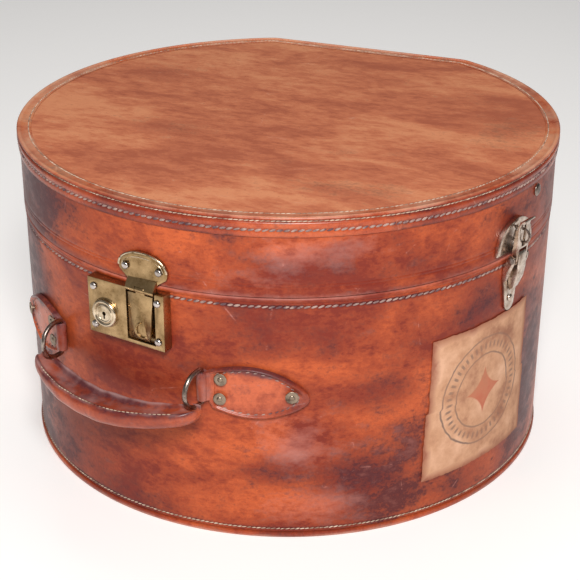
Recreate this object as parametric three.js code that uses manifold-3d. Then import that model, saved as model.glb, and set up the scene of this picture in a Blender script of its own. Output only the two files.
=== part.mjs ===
// Leather hat box: a round drum with a straight hinge side, a hinged lid, a flap lock,
// two side clasps and a carrying handle on two D-rings. Millimetres, +Z up.
// The origin is the middle of the round plan, on the surface that the box stands on.
// The straight hinge side faces +Y.
import * as THREE from 'three';
import { mergeVertices } from 'three/addons/utils/BufferGeometryUtils.js';
import Module from 'manifold-3d';

const wasm = await Module();
wasm.setup();

// ---- Driving dimensions -------------------------------------------------------------------
const PLAN_RADIUS = 200;        // outside of the body's side leather
const FLAT_OFFSET = 181;        // middle of the plan to the straight hinge side
const FLAT_CORNER = 16;         // outside radius where the round side meets the straight one
const BODY_HEIGHT = 187;        // base to the mouth of the body, where the lid rests
const LID_HEIGHT = 58;          // mouth to the top of the lid
const LEATHER = 3;              // side leather of body and lid
const BASE_THICKNESS = 4.2;
const BASE_LIP = 0.8;           // base leather standing proud of the side
const BOARD = 2.5;              // fibre board shell
const COLLAR_RISE = 10;         // board shell above the mouth, inside the lid
const COLLAR_CLEAR = 2;         // lid lining above the collar
const LINING = 1;
const LID_PROUD = 0.8;          // lid leather outside the body leather
const TOP_THICKNESS = 3.4;
const BINDING_SIDE = 14;        // folded edge binding, down the lid's side
const BINDING_TOP = 10.8;       // and in over its top
const BINDING_THICKNESS = 1.2;
const GAP = 0.3;                // between pieces that rest on each other
const MOUTH_GAP = 0.5;          // between lid and body
const BORE_EASE = 0.1;          // a bore's clearance less than that beside the piece

const FRONT_AZ = 260;           // azimuth of the lock, degrees from +X
const HANDLE_SHIFT = -2.5;      // handle middle from the lock, degrees
const CLASP_SPREAD = 82.3;      // clasps to each side of the lock, degrees
const STUD_SPREAD = 91.7;       // lid studs to each side of the lock, degrees
const STUD_RISE = 37;           // lid studs above the mouth
const STUD_RADIUS = 4.5;

const RIVET = { head: 2.7, rise: 1.3, shank: 1.1 };
const RIVET_CLEAR = 0.3;
const RIVET_FOOT = 0.6;         // shank end short of the leather's inner face

const LOCK = { width: 63, height: 41, below: 3.4, front: 6, wall: 1.6 };
const LOCK_BOSS = { rise: 0.8, topOut: 0.4, footOut: 0.7 };   // swelling round the key barrel
const LOCK_RIVET_IN = { x: 5, y: 6.2 };                       // rivets in from the case's edges
const FLAP = { x: 12.5, top: 20.5, bottom: 17, length: 37, thickness: 1.5, pinDrop: 3.2 };
const FLAP_BARREL = { radius: 2.2, half: 11.4, pin: 1, clear: 0.3 };
const FLAP_STANDOFF = 2.4;      // space behind the flap in its channel
const FLAP_SIDE_CLEAR = 1.6;
const FLAP_TONGUE = 2;           // flap's middle knuckle, down over the plate
const FLAP_SHOULDER = 0.9;       // plate's top edge below the knuckles
const CURL = { inX: 6.2, rise: 7.4, radius: 5.6, shift: 1.2, innerRadius: 4.9, sink: 0.4, proud: 1.5 };
const CURL_ARC = { from: 100, to: 290, innerFrom: 285, innerTo: 105 };   // degrees
const STAPLE = { width: 6, height: 6.4, drop: 31, hole: 2.4, holeHalf: 1.6, wall: 0.8 };
const STAPLE_SLOT = { below: 1, above: 1.6 };
const WELD = 0.5;                // how far joined shapes reach into each other
const OVER = 1;                  // how far a cutter reaches past a face
const BOLT = { thickness: 1.4, height: 2.4, tipGap: 0.8, plane: 1 };
const BOLT_HEAD = { side: 2.6, top: 2, slotClear: 0.25 };
const BOLT_RECESS = { side: 3, end: 1.5 };
const BARREL = { x: -16.5, drop: 27, radius: 10, stem: 4.4, rise: 2.4, cam: 3.5, camPin: 1.2 };
const BARREL_RIM = { outer: 0.6, inner: 1.6, foot: 2, dish: 0.5 };   // in from the barrel's radius
const KEYHOLE = { radius: 1.5, bitHalf: 0.6, bitDrop: 3.8, floor: 1 };
const CAM_REST = 45;            // degrees of the cam pin from upright, to each side
const HASP = { half: 20, top: 23.5, shoulder: 12, neck: 11.4, thickness: 1.8, ridge: 1.1, foot: 1.5 };
const HASP_CURVE = { waistIn: 2, waistDrop: 6, bulge: 1, crownIn: 6, crown: 4 };
const HASP_RIDGE = { endIn: 4, endRise: 4, peak: 7, innerIn: 4.6, innerRise: 2, innerPeak: 3 };
const HASP_RIVET = { spread: 13, drop: 1 };

const HINGE = { spread: 52, width: 38, leaf: 30, thickness: 1.5, knuckle: 3.6, pin: 1.6 };
const HINGE_CLEAR = 0.35;
const HINGE_TONGUE = { near: 0.5, weld: 1 };    // leaf's edge off the knuckles; their tongues' reach in

const RING = { half: 63, height: 26, wire: 1.7, arm: 6, drop: 67 };
const PATCH = { thickness: 4, tipAngle: 19.3, middleDrop: 3, height: 36, behind: 1.8, wrap: 1.5, start: 1 };
const LEAF = { rootUp: 14, rootDown: 13, swell: 26, swellUp: 1.25, swellDown: 1.35 };
const ARM_ROOM = { side: 1, level: 0.8, depth: 0.5 };       // round the rings' arms
const PATCH_RIVET = { head: 4.5, rise: 1, shank: 1.4, stand: 0.35 };
// Degrees past the ring's bar, and rise above the ring's centre, of the rivets in a patch.
const PATCH_RIVETS = [[2.7, 6.6], [2.5, -8.2], [16.2, -4.2]];
const GRIP = { half: 71, endOut: 9, midOut: 27, endRise: 5, midDrop: 14.5 };
const GRIP_SIZE = { endHalf: 9, midHalf: 12, endDeep: 11, midDeep: 15.5 };
const GRIP_FORM = { crown: 0.28, roundFrom: 0.9, roundRate: 60 };
const RING_SWING = 6;           // degrees each way about the ring's upright bar
const RING_CLEAR = 0.5;

const CLASP = { plateRadius: 21, plateRise: 4, plate: 1.8, rim: 2.5, rimRise: 1.5, skirt: 3, rimFoot: 2 };
const CLASP_RIVET_DROP = 33.5;
const CLASP_STAPLE = { low: 11, high: 21, wire: 1, out: 15, hole: 0.3 };
const CLASP_LEVER = { half: 6.5, side: 1.4, pivotRise: -1, pivotOut: 6, tip: 29, webStart: 7.2, webOut: 2.2 };
const CLASP_SLOT = { half: 2.1, foot: 1.2, head: 3.4 };
const CLASP_BASE = { half: 9.2, foot: 6, length: 38, thickness: 1.5, cheek: 1.3, drop: 5, taper: 12 };
const CLASP_COVER = { half: 4.5, top: 4.5, bottom: -27, out: 9.6 };
const CLASP_PIN = 1.4;
const CLASP_PIN_HEAD = { radius: 2.8, edge: 2.7, crown: 1.5, low: 0.4, high: 1.1, rise: 1.3 };
const CLASP_CLEAR = 0.35;

const LABEL = { shift: 75.9, width: 106, height: 111, drop: 100, thickness: 0.4 };
// How far each corner of the label stands off a true rectangle: share of half its width, and rise.
const LABEL_CORNERS = [[-1, 3], [1.04, -3], [0.98, -4], [-0.94, 2]];

// ---- Sizes that follow --------------------------------------------------------------------
const HEIGHT = BODY_HEIGHT + LID_HEIGHT;
const DEG = Math.PI / 180;
const LID_RADIUS = PLAN_RADIUS + LID_PROUD;
const BOARD_INSET = LEATHER + GAP;
const LINING_INSET = BOARD_INSET + BOARD + GAP;
const TOP_UNDER = HEIGHT - BINDING_THICKNESS - GAP - TOP_THICKNESS;
const HINGE_Y = FLAT_OFFSET + LID_PROUD + GAP + HINGE.knuckle;
const HINGE_Z = BODY_HEIGHT + MOUTH_GAP / 2;
const ARC_STEPS = 70;           // facets of the round side, the same for every layer
const CORNER_STEPS = 4;
const FAR = 60;                 // reach of a cutter past what it cuts
const RING_RADIUS = RING.height / 2;
const RING_CENTRE = BODY_HEIGHT - RING.drop;
const RING_BORE = RING.wire + RING_CLEAR - BORE_EASE;
const RING_SEAT = Math.sqrt(PLAN_RADIUS ** 2 - RING.half ** 2) + GAP + PATCH.behind + RING_BORE;
const RING_AXIS_OUT = RING_SEAT + RING.arm;

// ---- Materials ----------------------------------------------------------------------------
const FINISH = {
  leather: { color: 0x8c3a1c, roughness: 0.45, metalness: 0 },
  lidLeather: { color: 0xa04c26, roughness: 0.4, metalness: 0 },
  board: { color: 0x6d4a30, roughness: 0.8, metalness: 0 },
  lining: { color: 0xb59a6c, roughness: 0.95, metalness: 0 },
  brass: { color: 0x9c8650, roughness: 0.35, metalness: 1 },
  steel: { color: 0x9b968c, roughness: 0.3, metalness: 1 },
  paper: { color: 0xc9a077, roughness: 0.85, metalness: 0 },
};

// ---- Solids -------------------------------------------------------------------------------
// A closed geometry as a solid for joining and cutting.
function solid(geometry) {
  const bare = geometry.clone();
  bare.deleteAttribute('normal');
  bare.deleteAttribute('uv');
  const merged = mergeVertices(bare, 1e-4);
  return new wasm.Manifold(new wasm.Mesh({
    numProp: 3,
    vertProperties: new Float32Array(merged.attributes.position.array),
    triVerts: new Uint32Array(merged.index.array),
  }));
}

function named(name, shape, finish) {
  const result = shape.getMesh();
  const geometry = new THREE.BufferGeometry();
  geometry.setAttribute('position', new THREE.BufferAttribute(result.vertProperties, 3));
  geometry.setIndex(new THREE.BufferAttribute(result.triVerts, 1));
  geometry.computeVertexNormals();
  const mesh = new THREE.Mesh(geometry, new THREE.MeshStandardMaterial(FINISH[finish]));
  mesh.name = name;
  return mesh;
}

function extrude(shape, from, to, curveSegments = 8) {
  const options = { depth: to - from, bevelEnabled: false, curveSegments };
  return new THREE.ExtrudeGeometry(shape, options).translate(0, 0, from);
}

// An outline given as [across, up] points, extruded outwards.
function outline(points) {
  return new THREE.Shape(points.map(([x, y]) => new THREE.Vector2(x, y)));
}

function block(x0, x1, y0, y1, z0, z1) {
  const box = new THREE.BoxGeometry(x1 - x0, y1 - y0, z1 - z0);
  return solid(box.translate((x0 + x1) / 2, (y0 + y1) / 2, (z0 + z1) / 2));
}

// A cylinder along the outward direction.
function outwardRod(x, y, z0, z1, radius, sides = 12) {
  const rod = new THREE.CylinderGeometry(radius, radius, z1 - z0, sides);
  return solid(rod.rotateX(Math.PI / 2).translate(x, y, (z0 + z1) / 2));
}

// A cylinder along the across direction.
function acrossRod(x0, x1, y, z, radius, sides = 12) {
  const rod = new THREE.CylinderGeometry(radius, radius, x1 - x0, sides);
  return solid(rod.rotateZ(Math.PI / 2).translate((x0 + x1) / 2, y, z));
}

// A side view given as [out, up] points, extruded across from x0 to x1.
function sideView(points, x0, x1) {
  return solid(extrude(outline(points), 0, x1 - x0).rotateY(-Math.PI / 2).translate(x1, 0, 0));
}

// The plan outline, moved in by inset: the round side, two corner arcs and the straight side.
function planPoints(inset) {
  const cornerY = FLAT_OFFSET - FLAT_CORNER;
  const cornerX = Math.sqrt((PLAN_RADIUS - FLAT_CORNER) ** 2 - cornerY ** 2);
  const start = Math.atan2(cornerY, cornerX);
  const sweep = Math.PI + 2 * start;
  const points = [];
  for (let i = 0; i <= ARC_STEPS; i++) {
    const angle = start - (sweep * i) / ARC_STEPS;
    points.push([(PLAN_RADIUS - inset) * Math.cos(angle), (PLAN_RADIUS - inset) * Math.sin(angle)]);
  }
  for (const side of [-1, 1]) {
    for (let i = 1; i <= CORNER_STEPS; i++) {
      const share = side < 0 ? i / CORNER_STEPS : 1 - (i - 1) / CORNER_STEPS;
      const angle = start + (Math.PI / 2 - start) * share;
      const reach = FLAT_CORNER - inset;
      points.push([side * (cornerX + reach * Math.cos(angle)), cornerY + reach * Math.sin(angle)]);
    }
  }
  points.splice(points.length - 1, 1);
  return points.reverse();
}

function planSlab(inset, z0, z1) {
  return solid(extrude(outline(planPoints(inset)), z0, z1));
}

function planTube(outer, inner, z0, z1) {
  return planSlab(outer, z0, z1).subtract(planSlab(inner, z0 - 1, z1 + 1));
}

// Everything inside the plan at a given inset, seen from a face at an azimuth.
function drumInFace(inset, azimuth) {
  const drum = extrude(outline(planPoints(inset)), -FAR, HEIGHT + FAR);
  drum.rotateZ(-(azimuth + 90) * DEG).rotateX(-Math.PI / 2);
  return solid(drum);
}

// A thin piece that follows the round side between two insets.
function onSide(points, azimuth, outer, inner) {
  const plate = solid(extrude(outline(points), PLAN_RADIUS / 2, PLAN_RADIUS + FAR));
  return plate.intersect(drumInFace(outer, azimuth)).subtract(drumInFace(inner, azimuth));
}

// A face of the box: across, up and out are its X, Y and Z.
function faceGroup(azimuth, meshes) {
  const turn = new THREE.Group();
  turn.rotation.z = (azimuth + 90) * DEG;
  const face = new THREE.Group();
  face.rotation.x = Math.PI / 2;
  face.add(...meshes);
  turn.add(face);
  return turn;
}

// A solid in face coordinates, moved to the box's own, to cut the side pieces.
function fromFace(shape, azimuth) {
  return shape.rotate([90, 0, 0]).rotate([0, 0, azimuth + 90]);
}

// Domed rivet: its shank goes through the plate into the leather behind it.
function rivetSolid(x, y, seat, depth, size = RIVET, tilt = 0) {
  const profile = [
    [0, -depth], [size.shank, -depth], [size.shank, 0], [size.head, 0], [size.head * 0.94, size.rise * 0.4],
    [size.head * 0.6, size.rise * 0.85], [0, size.rise],
  ];
  const lathe = new THREE.LatheGeometry(profile.map(([r, h]) => new THREE.Vector2(r, h)), 8);
  lathe.rotateX(Math.PI / 2).translate(0, 0, seat).rotateY(tilt).translate(x, y, 0);
  return solid(lathe);
}

function rivetHole(x, y, from, to, size = RIVET) {
  return outwardRod(x, y, from, to, size.shank + RIVET_CLEAR, 10);
}

// Distance out to the round side at a place across a face.
function sideOut(x, radius = PLAN_RADIUS) {
  return Math.sqrt(radius ** 2 - x ** 2);
}

// ---- Side cutters, gathered from the fittings ---------------------------------------------
const bodyCuts = [];
const lidCuts = [];

// ---- Lock ---------------------------------------------------------------------------------
function lockCase(azimuth) {
  const top = BODY_HEIGHT - LOCK.below;
  const bottom = top - LOCK.height;
  const half = LOCK.width / 2;
  const front = PLAN_RADIUS + LOCK.front;
  const channelHalf = FLAP.top / 2 + FLAP_SIDE_CLEAR;
  const channelBottom = BODY_HEIGHT - FLAP.pinDrop - FLAP.length - FLAP_SIDE_CLEAR;
  const channelFloor = front - GAP - FLAP.thickness - FLAP_STANDOFF;
  const stapleY = BODY_HEIGHT - FLAP.pinDrop - STAPLE.drop;
  let shape = block(-half, half, bottom, top, PLAN_RADIUS / 2, front);
  const boss = new THREE.CylinderGeometry(
    BARREL.radius + LOCK_BOSS.topOut, BARREL.radius + LOCK_BOSS.footOut, LOCK_BOSS.rise, 24);
  const barrelY = BODY_HEIGHT - BARREL.drop;
  boss.rotateX(Math.PI / 2).translate(BARREL.x, barrelY, front + LOCK_BOSS.rise / 2);
  shape = shape.add(solid(boss));
  shape = shape.subtract(block(FLAP.x - channelHalf, FLAP.x + channelHalf, channelBottom, top + OVER,
    channelFloor, front + FAR));
  const innerRight = FLAP.x - channelHalf - LOCK.wall;
  shape = shape.subtract(block(-half + LOCK.wall, innerRight, bottom + LOCK.wall, top - LOCK.wall,
    0, front - LOCK.wall));
  const slotHalf = STAPLE.width / 2 + FLAP_SIDE_CLEAR;
  shape = shape.subtract(block(FLAP.x - slotHalf, FLAP.x + slotHalf,
    stapleY - STAPLE.height / 2 - STAPLE_SLOT.below, stapleY + STAPLE.height / 2 + STAPLE_SLOT.above,
    0, front));
  shape = shape.subtract(outwardRod(BARREL.x, barrelY, 0, front + FAR, BARREL.stem + RIVET_CLEAR, 20));
  shape = shape.subtract(drumInFace(-GAP, azimuth));
  for (const [x, y] of lockRivetPlaces()) {
    shape = shape.subtract(rivetHole(x, y, 0, front + FAR));
  }
  return shape;
}

function lockRivetPlaces() {
  const top = BODY_HEIGHT - LOCK.below;
  const places = [];
  for (const side of [-1, 1]) {
    for (const y of [top - LOCK_RIVET_IN.y, top - LOCK.height + LOCK_RIVET_IN.y]) {
      places.push([side * (LOCK.width / 2 - LOCK_RIVET_IN.x), y]);
    }
  }
  return places;
}

// The key barrel: a ringed face, a stem through the case and a cam pin that moves the bolt.
function lockBarrel() {
  const y = BODY_HEIGHT - BARREL.drop;
  const front = PLAN_RADIUS + LOCK.front;
  const face = front + LOCK_BOSS.rise + GAP;
  const dish = face + BARREL.rise - BARREL_RIM.dish;
  const stemEnd = boltPlane() + BOLT.thickness / 2 + GAP;
  const profile = [
    [0, stemEnd], [BARREL.stem, stemEnd], [BARREL.stem, face], [BARREL.radius, face],
    [BARREL.radius, dish], [BARREL.radius - BARREL_RIM.outer, face + BARREL.rise],
    [BARREL.radius - BARREL_RIM.inner, face + BARREL.rise], [BARREL.radius - BARREL_RIM.foot, dish], [0, dish],
  ];
  const lathe = new THREE.LatheGeometry(profile.map(([r, h]) => new THREE.Vector2(r, h)), 24);
  let shape = solid(lathe.rotateX(Math.PI / 2).translate(BARREL.x, y, 0));
  const camX = BARREL.x - BARREL.cam * Math.sin(CAM_REST * DEG);
  const camY = y + BARREL.cam * Math.cos(CAM_REST * DEG);
  const camFrom = boltPlane() - BOLT.thickness / 2;
  shape = shape.add(outwardRod(camX, camY, camFrom, stemEnd + OVER, BARREL.camPin, 10));
  const keyTop = face + BARREL.rise + OVER;
  const keyFloor = front - KEYHOLE.floor;
  shape = shape.subtract(outwardRod(BARREL.x, y, keyFloor, keyTop, KEYHOLE.radius, 12));
  return shape.subtract(block(BARREL.x - KEYHOLE.bitHalf, BARREL.x + KEYHOLE.bitHalf, y - KEYHOLE.bitDrop, y,
    keyFloor, keyTop));
}

// Middle of the bolt's thickness, out from the box's axis, behind the channel floor.
function boltPlane() {
  return PLAN_RADIUS - BOLT.plane;
}

function lockBolt() {
  const y = BODY_HEIGHT - BARREL.drop;
  const stapleY = BODY_HEIGHT - FLAP.pinDrop - STAPLE.drop;
  const z0 = boltPlane() - BOLT.thickness / 2;
  const z1 = z0 + BOLT.thickness;
  const tip = FLAP.x - STAPLE.width / 2 - BOLT.tipGap;
  const headHalf = BARREL.camPin + BOLT_HEAD.side;
  const camX = BARREL.x - BARREL.cam * Math.sin(CAM_REST * DEG);
  const camLow = y + BARREL.cam * Math.cos(CAM_REST * DEG);
  const camHigh = y + BARREL.cam;
  let shape = block(camX - headHalf, tip, stapleY - BOLT.height / 2, stapleY + BOLT.height / 2, z0, z1);
  shape = shape.add(block(camX - headHalf, camX + headHalf, stapleY - BOLT.height / 2,
    camHigh + BARREL.camPin + BOLT_HEAD.top, z0, z1));
  const slot = BARREL.camPin + BOLT_HEAD.slotClear;
  return shape.subtract(block(camX - slot, camX + slot, camLow - slot, camHigh + slot, z0 - OVER, z1 + OVER));
}

function boltRecess() {
  const stapleY = BODY_HEIGHT - FLAP.pinDrop - STAPLE.drop;
  const y = BODY_HEIGHT - BARREL.drop;
  const camReach = BARREL.cam + BARREL.camPin + BOLT_RECESS.side;
  const right = FLAP.x + STAPLE.width / 2 + BOLT_RECESS.end;
  return block(BARREL.x - camReach, right, stapleY - STAPLE.height / 2 - BOLT_RECESS.end, y + camReach,
    PLAN_RADIUS / 2, PLAN_RADIUS + FAR);
}

// The flap hangs from its knuckle in the channel, with a staple behind it for the bolt.
function flapSolid() {
  const pinY = BODY_HEIGHT - FLAP.pinDrop;
  const front = PLAN_RADIUS + LOCK.front - GAP;
  const back = front - FLAP.thickness;
  const bottom = pinY - FLAP.length;
  const pinOut = flapPinOut();
  const left = FLAP.x - FLAP.top / 2;
  const shoulder = pinY - FLAP_BARREL.radius - FLAP_SHOULDER;
  const plate = outline([
    [left, shoulder], [left, bottom], [left + FLAP.bottom, bottom], [left + FLAP.top, shoulder],
  ]);
  let shape = solid(extrude(plate, back, front));
  const knuckle = FLAP_BARREL.half / 3 - FLAP_BARREL.clear / 2;
  shape = shape.add(block(FLAP.x - knuckle, FLAP.x + knuckle, pinY - FLAP_BARREL.radius - FLAP_TONGUE, pinY,
    back, front));
  shape = shape.add(acrossRod(FLAP.x - knuckle, FLAP.x + knuckle, pinY, pinOut, FLAP_BARREL.radius, 14));
  shape = shape.subtract(acrossRod(FLAP.x - FAR, FLAP.x + FAR, pinY, pinOut,
    FLAP_BARREL.pin + FLAP_BARREL.clear, 12));
  const stapleY = pinY - STAPLE.drop;
  const stapleEnd = boltPlane() - STAPLE.hole / 2 - STAPLE.wall;
  shape = shape.add(block(FLAP.x - STAPLE.width / 2, FLAP.x + STAPLE.width / 2,
    stapleY - STAPLE.height / 2, stapleY + STAPLE.height / 2, stapleEnd, back + WELD));
  shape = shape.subtract(block(FLAP.x - FAR, FLAP.x + FAR,
    stapleY - STAPLE.holeHalf, stapleY + STAPLE.holeHalf, boltPlane() - STAPLE.hole / 2, boltPlane() + STAPLE.hole / 2));
  return shape.add(fingerCurl(left + FLAP.bottom - CURL.inX, bottom + CURL.rise, front));
}

// A raised half-moon on the flap that a fingernail catches.
function fingerCurl(x, y, front) {
  const curl = new THREE.Shape();
  curl.absarc(0, 0, CURL.radius, CURL_ARC.from * DEG, CURL_ARC.to * DEG, false);
  curl.absarc(CURL.shift, 0, CURL.innerRadius, CURL_ARC.innerFrom * DEG, CURL_ARC.innerTo * DEG, true);
  return solid(extrude(curl, front - CURL.sink, front + CURL.proud, 10).translate(x, y, 0));
}

function flapPinOut() {
  return PLAN_RADIUS + LOCK.front - GAP - FLAP.thickness / 2;
}

// The lid's hasp plate: a rounded plate bent to the lid, stepping out to the flap's knuckles.
function haspPlate(azimuth) {
  const y0 = BODY_HEIGHT;
  const pinY = y0 - FLAP.pinDrop;
  const x = FLAP.x;
  const shoulder = y0 + HASP.shoulder;
  const waist = [HASP.half - HASP_CURVE.waistIn, shoulder - HASP_CURVE.waistDrop];
  const bulge = [HASP.half + HASP_CURVE.bulge, shoulder + HASP_CURVE.bulge];
  const crown = [HASP.half - HASP_CURVE.crownIn, y0 + HASP.top - HASP_CURVE.crown];
  const plate = new THREE.Shape();
  plate.moveTo(x - HASP.neck, y0 + HASP.foot);
  plate.lineTo(x + HASP.neck, y0 + HASP.foot);
  plate.lineTo(x + waist[0], waist[1]);
  plate.quadraticCurveTo(x + bulge[0], bulge[1], x + crown[0], crown[1]);
  plate.quadraticCurveTo(x, y0 + HASP.top + HASP_CURVE.crown, x - crown[0], crown[1]);
  plate.quadraticCurveTo(x - bulge[0], bulge[1], x - waist[0], waist[1]);
  const points = plate.getPoints(6).slice(0, -1).map((p) => [p.x, p.y]);
  const foot = -LID_PROUD - GAP;
  let shape = onSide(points, azimuth, foot - HASP.thickness, foot);
  const ridge = new THREE.Shape();
  const ridgeEnd = HASP.half - HASP_RIDGE.endIn;
  const innerEnd = HASP.half - HASP_RIDGE.innerIn;
  ridge.moveTo(x + ridgeEnd, shoulder + HASP_RIDGE.endRise);
  ridge.quadraticCurveTo(x, y0 + HASP.top + HASP_RIDGE.peak, x - ridgeEnd, shoulder + HASP_RIDGE.endRise);
  ridge.lineTo(x - innerEnd, shoulder + HASP_RIDGE.innerRise);
  ridge.quadraticCurveTo(x, y0 + HASP.top + HASP_RIDGE.innerPeak,
    x + innerEnd, shoulder + HASP_RIDGE.innerRise);
  const band = ridge.getPoints(6).slice(0, -1).map((p) => [p.x, p.y]);
  shape = shape.add(onSide(band, azimuth, foot - HASP.thickness - HASP.ridge, foot - WELD)
    .intersect(solid(extrude(outline(points), 0, PLAN_RADIUS + FAR))));
  const neckOut = PLAN_RADIUS - foot + HASP.thickness;
  const pinOut = flapPinOut();
  shape = shape.add(sideView([
    [neckOut - HASP.thickness + 0.2, y0 + 4], [neckOut - 0.4, y0 + 4], [pinOut + 0.6, y0 + 0.6],
    [pinOut + FLAP_BARREL.radius, pinY], [pinOut, pinY], [pinOut - 1.6, pinY + 1.4],
    [neckOut - HASP.thickness + 0.2, y0 + 1.6],
  ], x - FLAP_BARREL.half, x + FLAP_BARREL.half));
  const barrel = FLAP_BARREL;
  shape = shape.add(acrossRod(x - barrel.half, x + barrel.half, pinY, pinOut, barrel.radius, 14));
  const middle = FLAP_BARREL.half / 3 + FLAP_BARREL.clear / 2;
  shape = shape.subtract(acrossRod(x - middle, x + middle, pinY, pinOut, FLAP_BARREL.radius + 0.4, 14));
  shape = shape.subtract(block(x - middle, x + middle, pinY - FLAP_BARREL.radius - 1, pinY,
    PLAN_RADIUS, PLAN_RADIUS + FAR));
  shape = shape.subtract(acrossRod(x - FAR, x + FAR, pinY, pinOut, FLAP_BARREL.pin + FLAP_BARREL.clear, 12));
  for (const [rx, ry] of haspRivetPlaces()) {
    shape = shape.subtract(rivetHole(rx, ry, 0, PLAN_RADIUS + FAR));
  }
  return shape;
}

function haspRivetPlaces() {
  const y = BODY_HEIGHT + HASP.shoulder - HASP_RIVET.drop;
  return [-1, 1].map((side) => [FLAP.x + side * HASP_RIVET.spread, y]);
}

function buildLock() {
  const azimuth = FRONT_AZ;
  const front = PLAN_RADIUS + LOCK.front;
  const pinY = BODY_HEIGHT - FLAP.pinDrop;
  const meshes = [
    named('lock_case', lockCase(azimuth), 'brass'),
    named('lock_barrel', lockBarrel(), 'brass'),
    named('lock_bolt', lockBolt(), 'steel'),
    named('lock_flap', flapSolid(), 'brass'),
    named('hasp_plate', haspPlate(azimuth), 'brass'),
    named('flap_pin', acrossRod(FLAP.x - FLAP_BARREL.half, FLAP.x + FLAP_BARREL.half, pinY,
      flapPinOut(), FLAP_BARREL.pin, 12), 'steel'),
  ];
  lockRivetPlaces().forEach(([x, y], i) => {
    const depth = front + GAP - (sideOut(x) - LEATHER + RIVET_FOOT);
    meshes.push(named(`lock_rivet_${i + 1}`, rivetSolid(x, y, front + GAP, depth), 'steel'));
    bodyCuts.push(fromFace(rivetHole(x, y, PLAN_RADIUS / 2, front), azimuth));
  });
  const lidFace = LID_PROUD + GAP + HASP.thickness + GAP;
  haspRivetPlaces().forEach(([x, y], i) => {
    const seat = sideOut(x, PLAN_RADIUS + lidFace) + RIVET_FOOT;
    const depth = seat - (sideOut(x, LID_RADIUS) - LEATHER + RIVET_FOOT);
    meshes.push(named(`hasp_rivet_${i + 1}`, rivetSolid(x, y, seat, depth), 'steel'));
    lidCuts.push(fromFace(rivetHole(x, y, PLAN_RADIUS / 2, front), azimuth));
  });
  bodyCuts.push(fromFace(boltRecess(), azimuth));
  return faceGroup(azimuth, meshes);
}

// ---- Handle -------------------------------------------------------------------------------
class BowCurve extends THREE.Curve {
  constructor(x) {
    super();
    this.x = x;
  }

  // Out along the lower arm, round the half circle and back along the upper arm.
  getPoint(t, target = new THREE.Vector3()) {
    const round = Math.PI * RING_RADIUS;
    const along = t * (round + 2 * RING.arm) - RING.arm;
    if (along < 0) {
      return target.set(this.x, RING_CENTRE - RING_RADIUS, RING_AXIS_OUT + along);
    }
    if (along > round) {
      return target.set(this.x, RING_CENTRE + RING_RADIUS, RING_AXIS_OUT - (along - round));
    }
    const angle = along / RING_RADIUS;
    return target.set(this.x, RING_CENTRE - RING_RADIUS * Math.cos(angle),
      RING_AXIS_OUT + RING_RADIUS * Math.sin(angle));
  }
}

function dRing(side) {
  const section = new THREE.Shape();
  section.absarc(0, 0, RING.wire, 0, Math.PI * 2, false);
  const x = side * RING.half;
  const bow = new THREE.ExtrudeGeometry(section, {
    steps: 18, curveSegments: 4, bevelEnabled: false, extrudePath: new BowCurve(x),
  });
  const reach = RING_RADIUS + RING.wire;
  const bar = new THREE.CylinderGeometry(RING.wire, RING.wire, 2 * reach, 12);
  bar.translate(x, RING_CENTRE, RING_SEAT);
  return solid(bow).add(solid(bar));
}

// The leather patch: a pointed oval that starts as a tunnel round the ring's upright bar.
function handlePatch(side, azimuth) {
  const tipX = (RING_SEAT + LEATHER * 3) * Math.sin(Math.asin(RING.half / RING_SEAT) + PATCH.tipAngle * DEG);
  const startX = RING.half + PATCH.start;
  const middle = RING_CENTRE - PATCH.middleDrop;
  const halfHeight = PATCH.height / 2;
  const leaf = new THREE.Shape();
  leaf.moveTo(startX, middle + LEAF.rootUp);
  leaf.quadraticCurveTo(startX + LEAF.swell, middle + halfHeight * LEAF.swellUp, tipX, middle);
  leaf.quadraticCurveTo(startX + LEAF.swell, middle - halfHeight * LEAF.swellDown,
    startX, middle - LEAF.rootDown);
  const points = leaf.getPoints(8).slice(0, -1).map((p) => [side * p.x, p.y]);
  if (side < 0) points.reverse();
  let shape = onSide(points, azimuth, -GAP - PATCH.thickness, -GAP);
  const tunnelHalf = RING_RADIUS - RING.wire - RING_CLEAR;
  const wrap = RING_BORE + PATCH.wrap;
  const tunnel = new THREE.CylinderGeometry(wrap, wrap, 2 * tunnelHalf, 16);
  shape = shape.add(solid(tunnel.translate(side * RING.half, RING_CENTRE, RING_SEAT))
    .subtract(drumInFace(-GAP, azimuth)));
  const reach = RING_RADIUS + RING.wire + RING_CLEAR;
  const bore = new THREE.CylinderGeometry(RING_BORE, RING_BORE, 2 * reach, 14);
  shape = shape.subtract(solid(bore.translate(side * RING.half, RING_CENTRE, RING_SEAT)));
  const armRoom = RING.wire + ARM_ROOM.side;
  const levelRoom = RING.wire + ARM_ROOM.level;
  for (const level of [-1, 1]) {
    const y = RING_CENTRE + level * RING_RADIUS;
    shape = shape.subtract(block(side * RING.half - armRoom, side * RING.half + armRoom,
      y - levelRoom, y + levelRoom, RING_SEAT - armRoom + ARM_ROOM.depth, PLAN_RADIUS + FAR));
  }
  for (const [angle, y] of patchRivetPlaces()) {
    shape = shape.subtract(patchRivetTool(side * angle, y, true));
  }
  return shape;
}

// Angle from the handle's middle and height of the three rivets in a patch.
function patchRivetPlaces() {
  const bar = Math.asin(RING.half / RING_SEAT) / DEG;
  return PATCH_RIVETS.map(([turn, rise]) => [bar + turn, RING_CENTRE + rise]);
}

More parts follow.
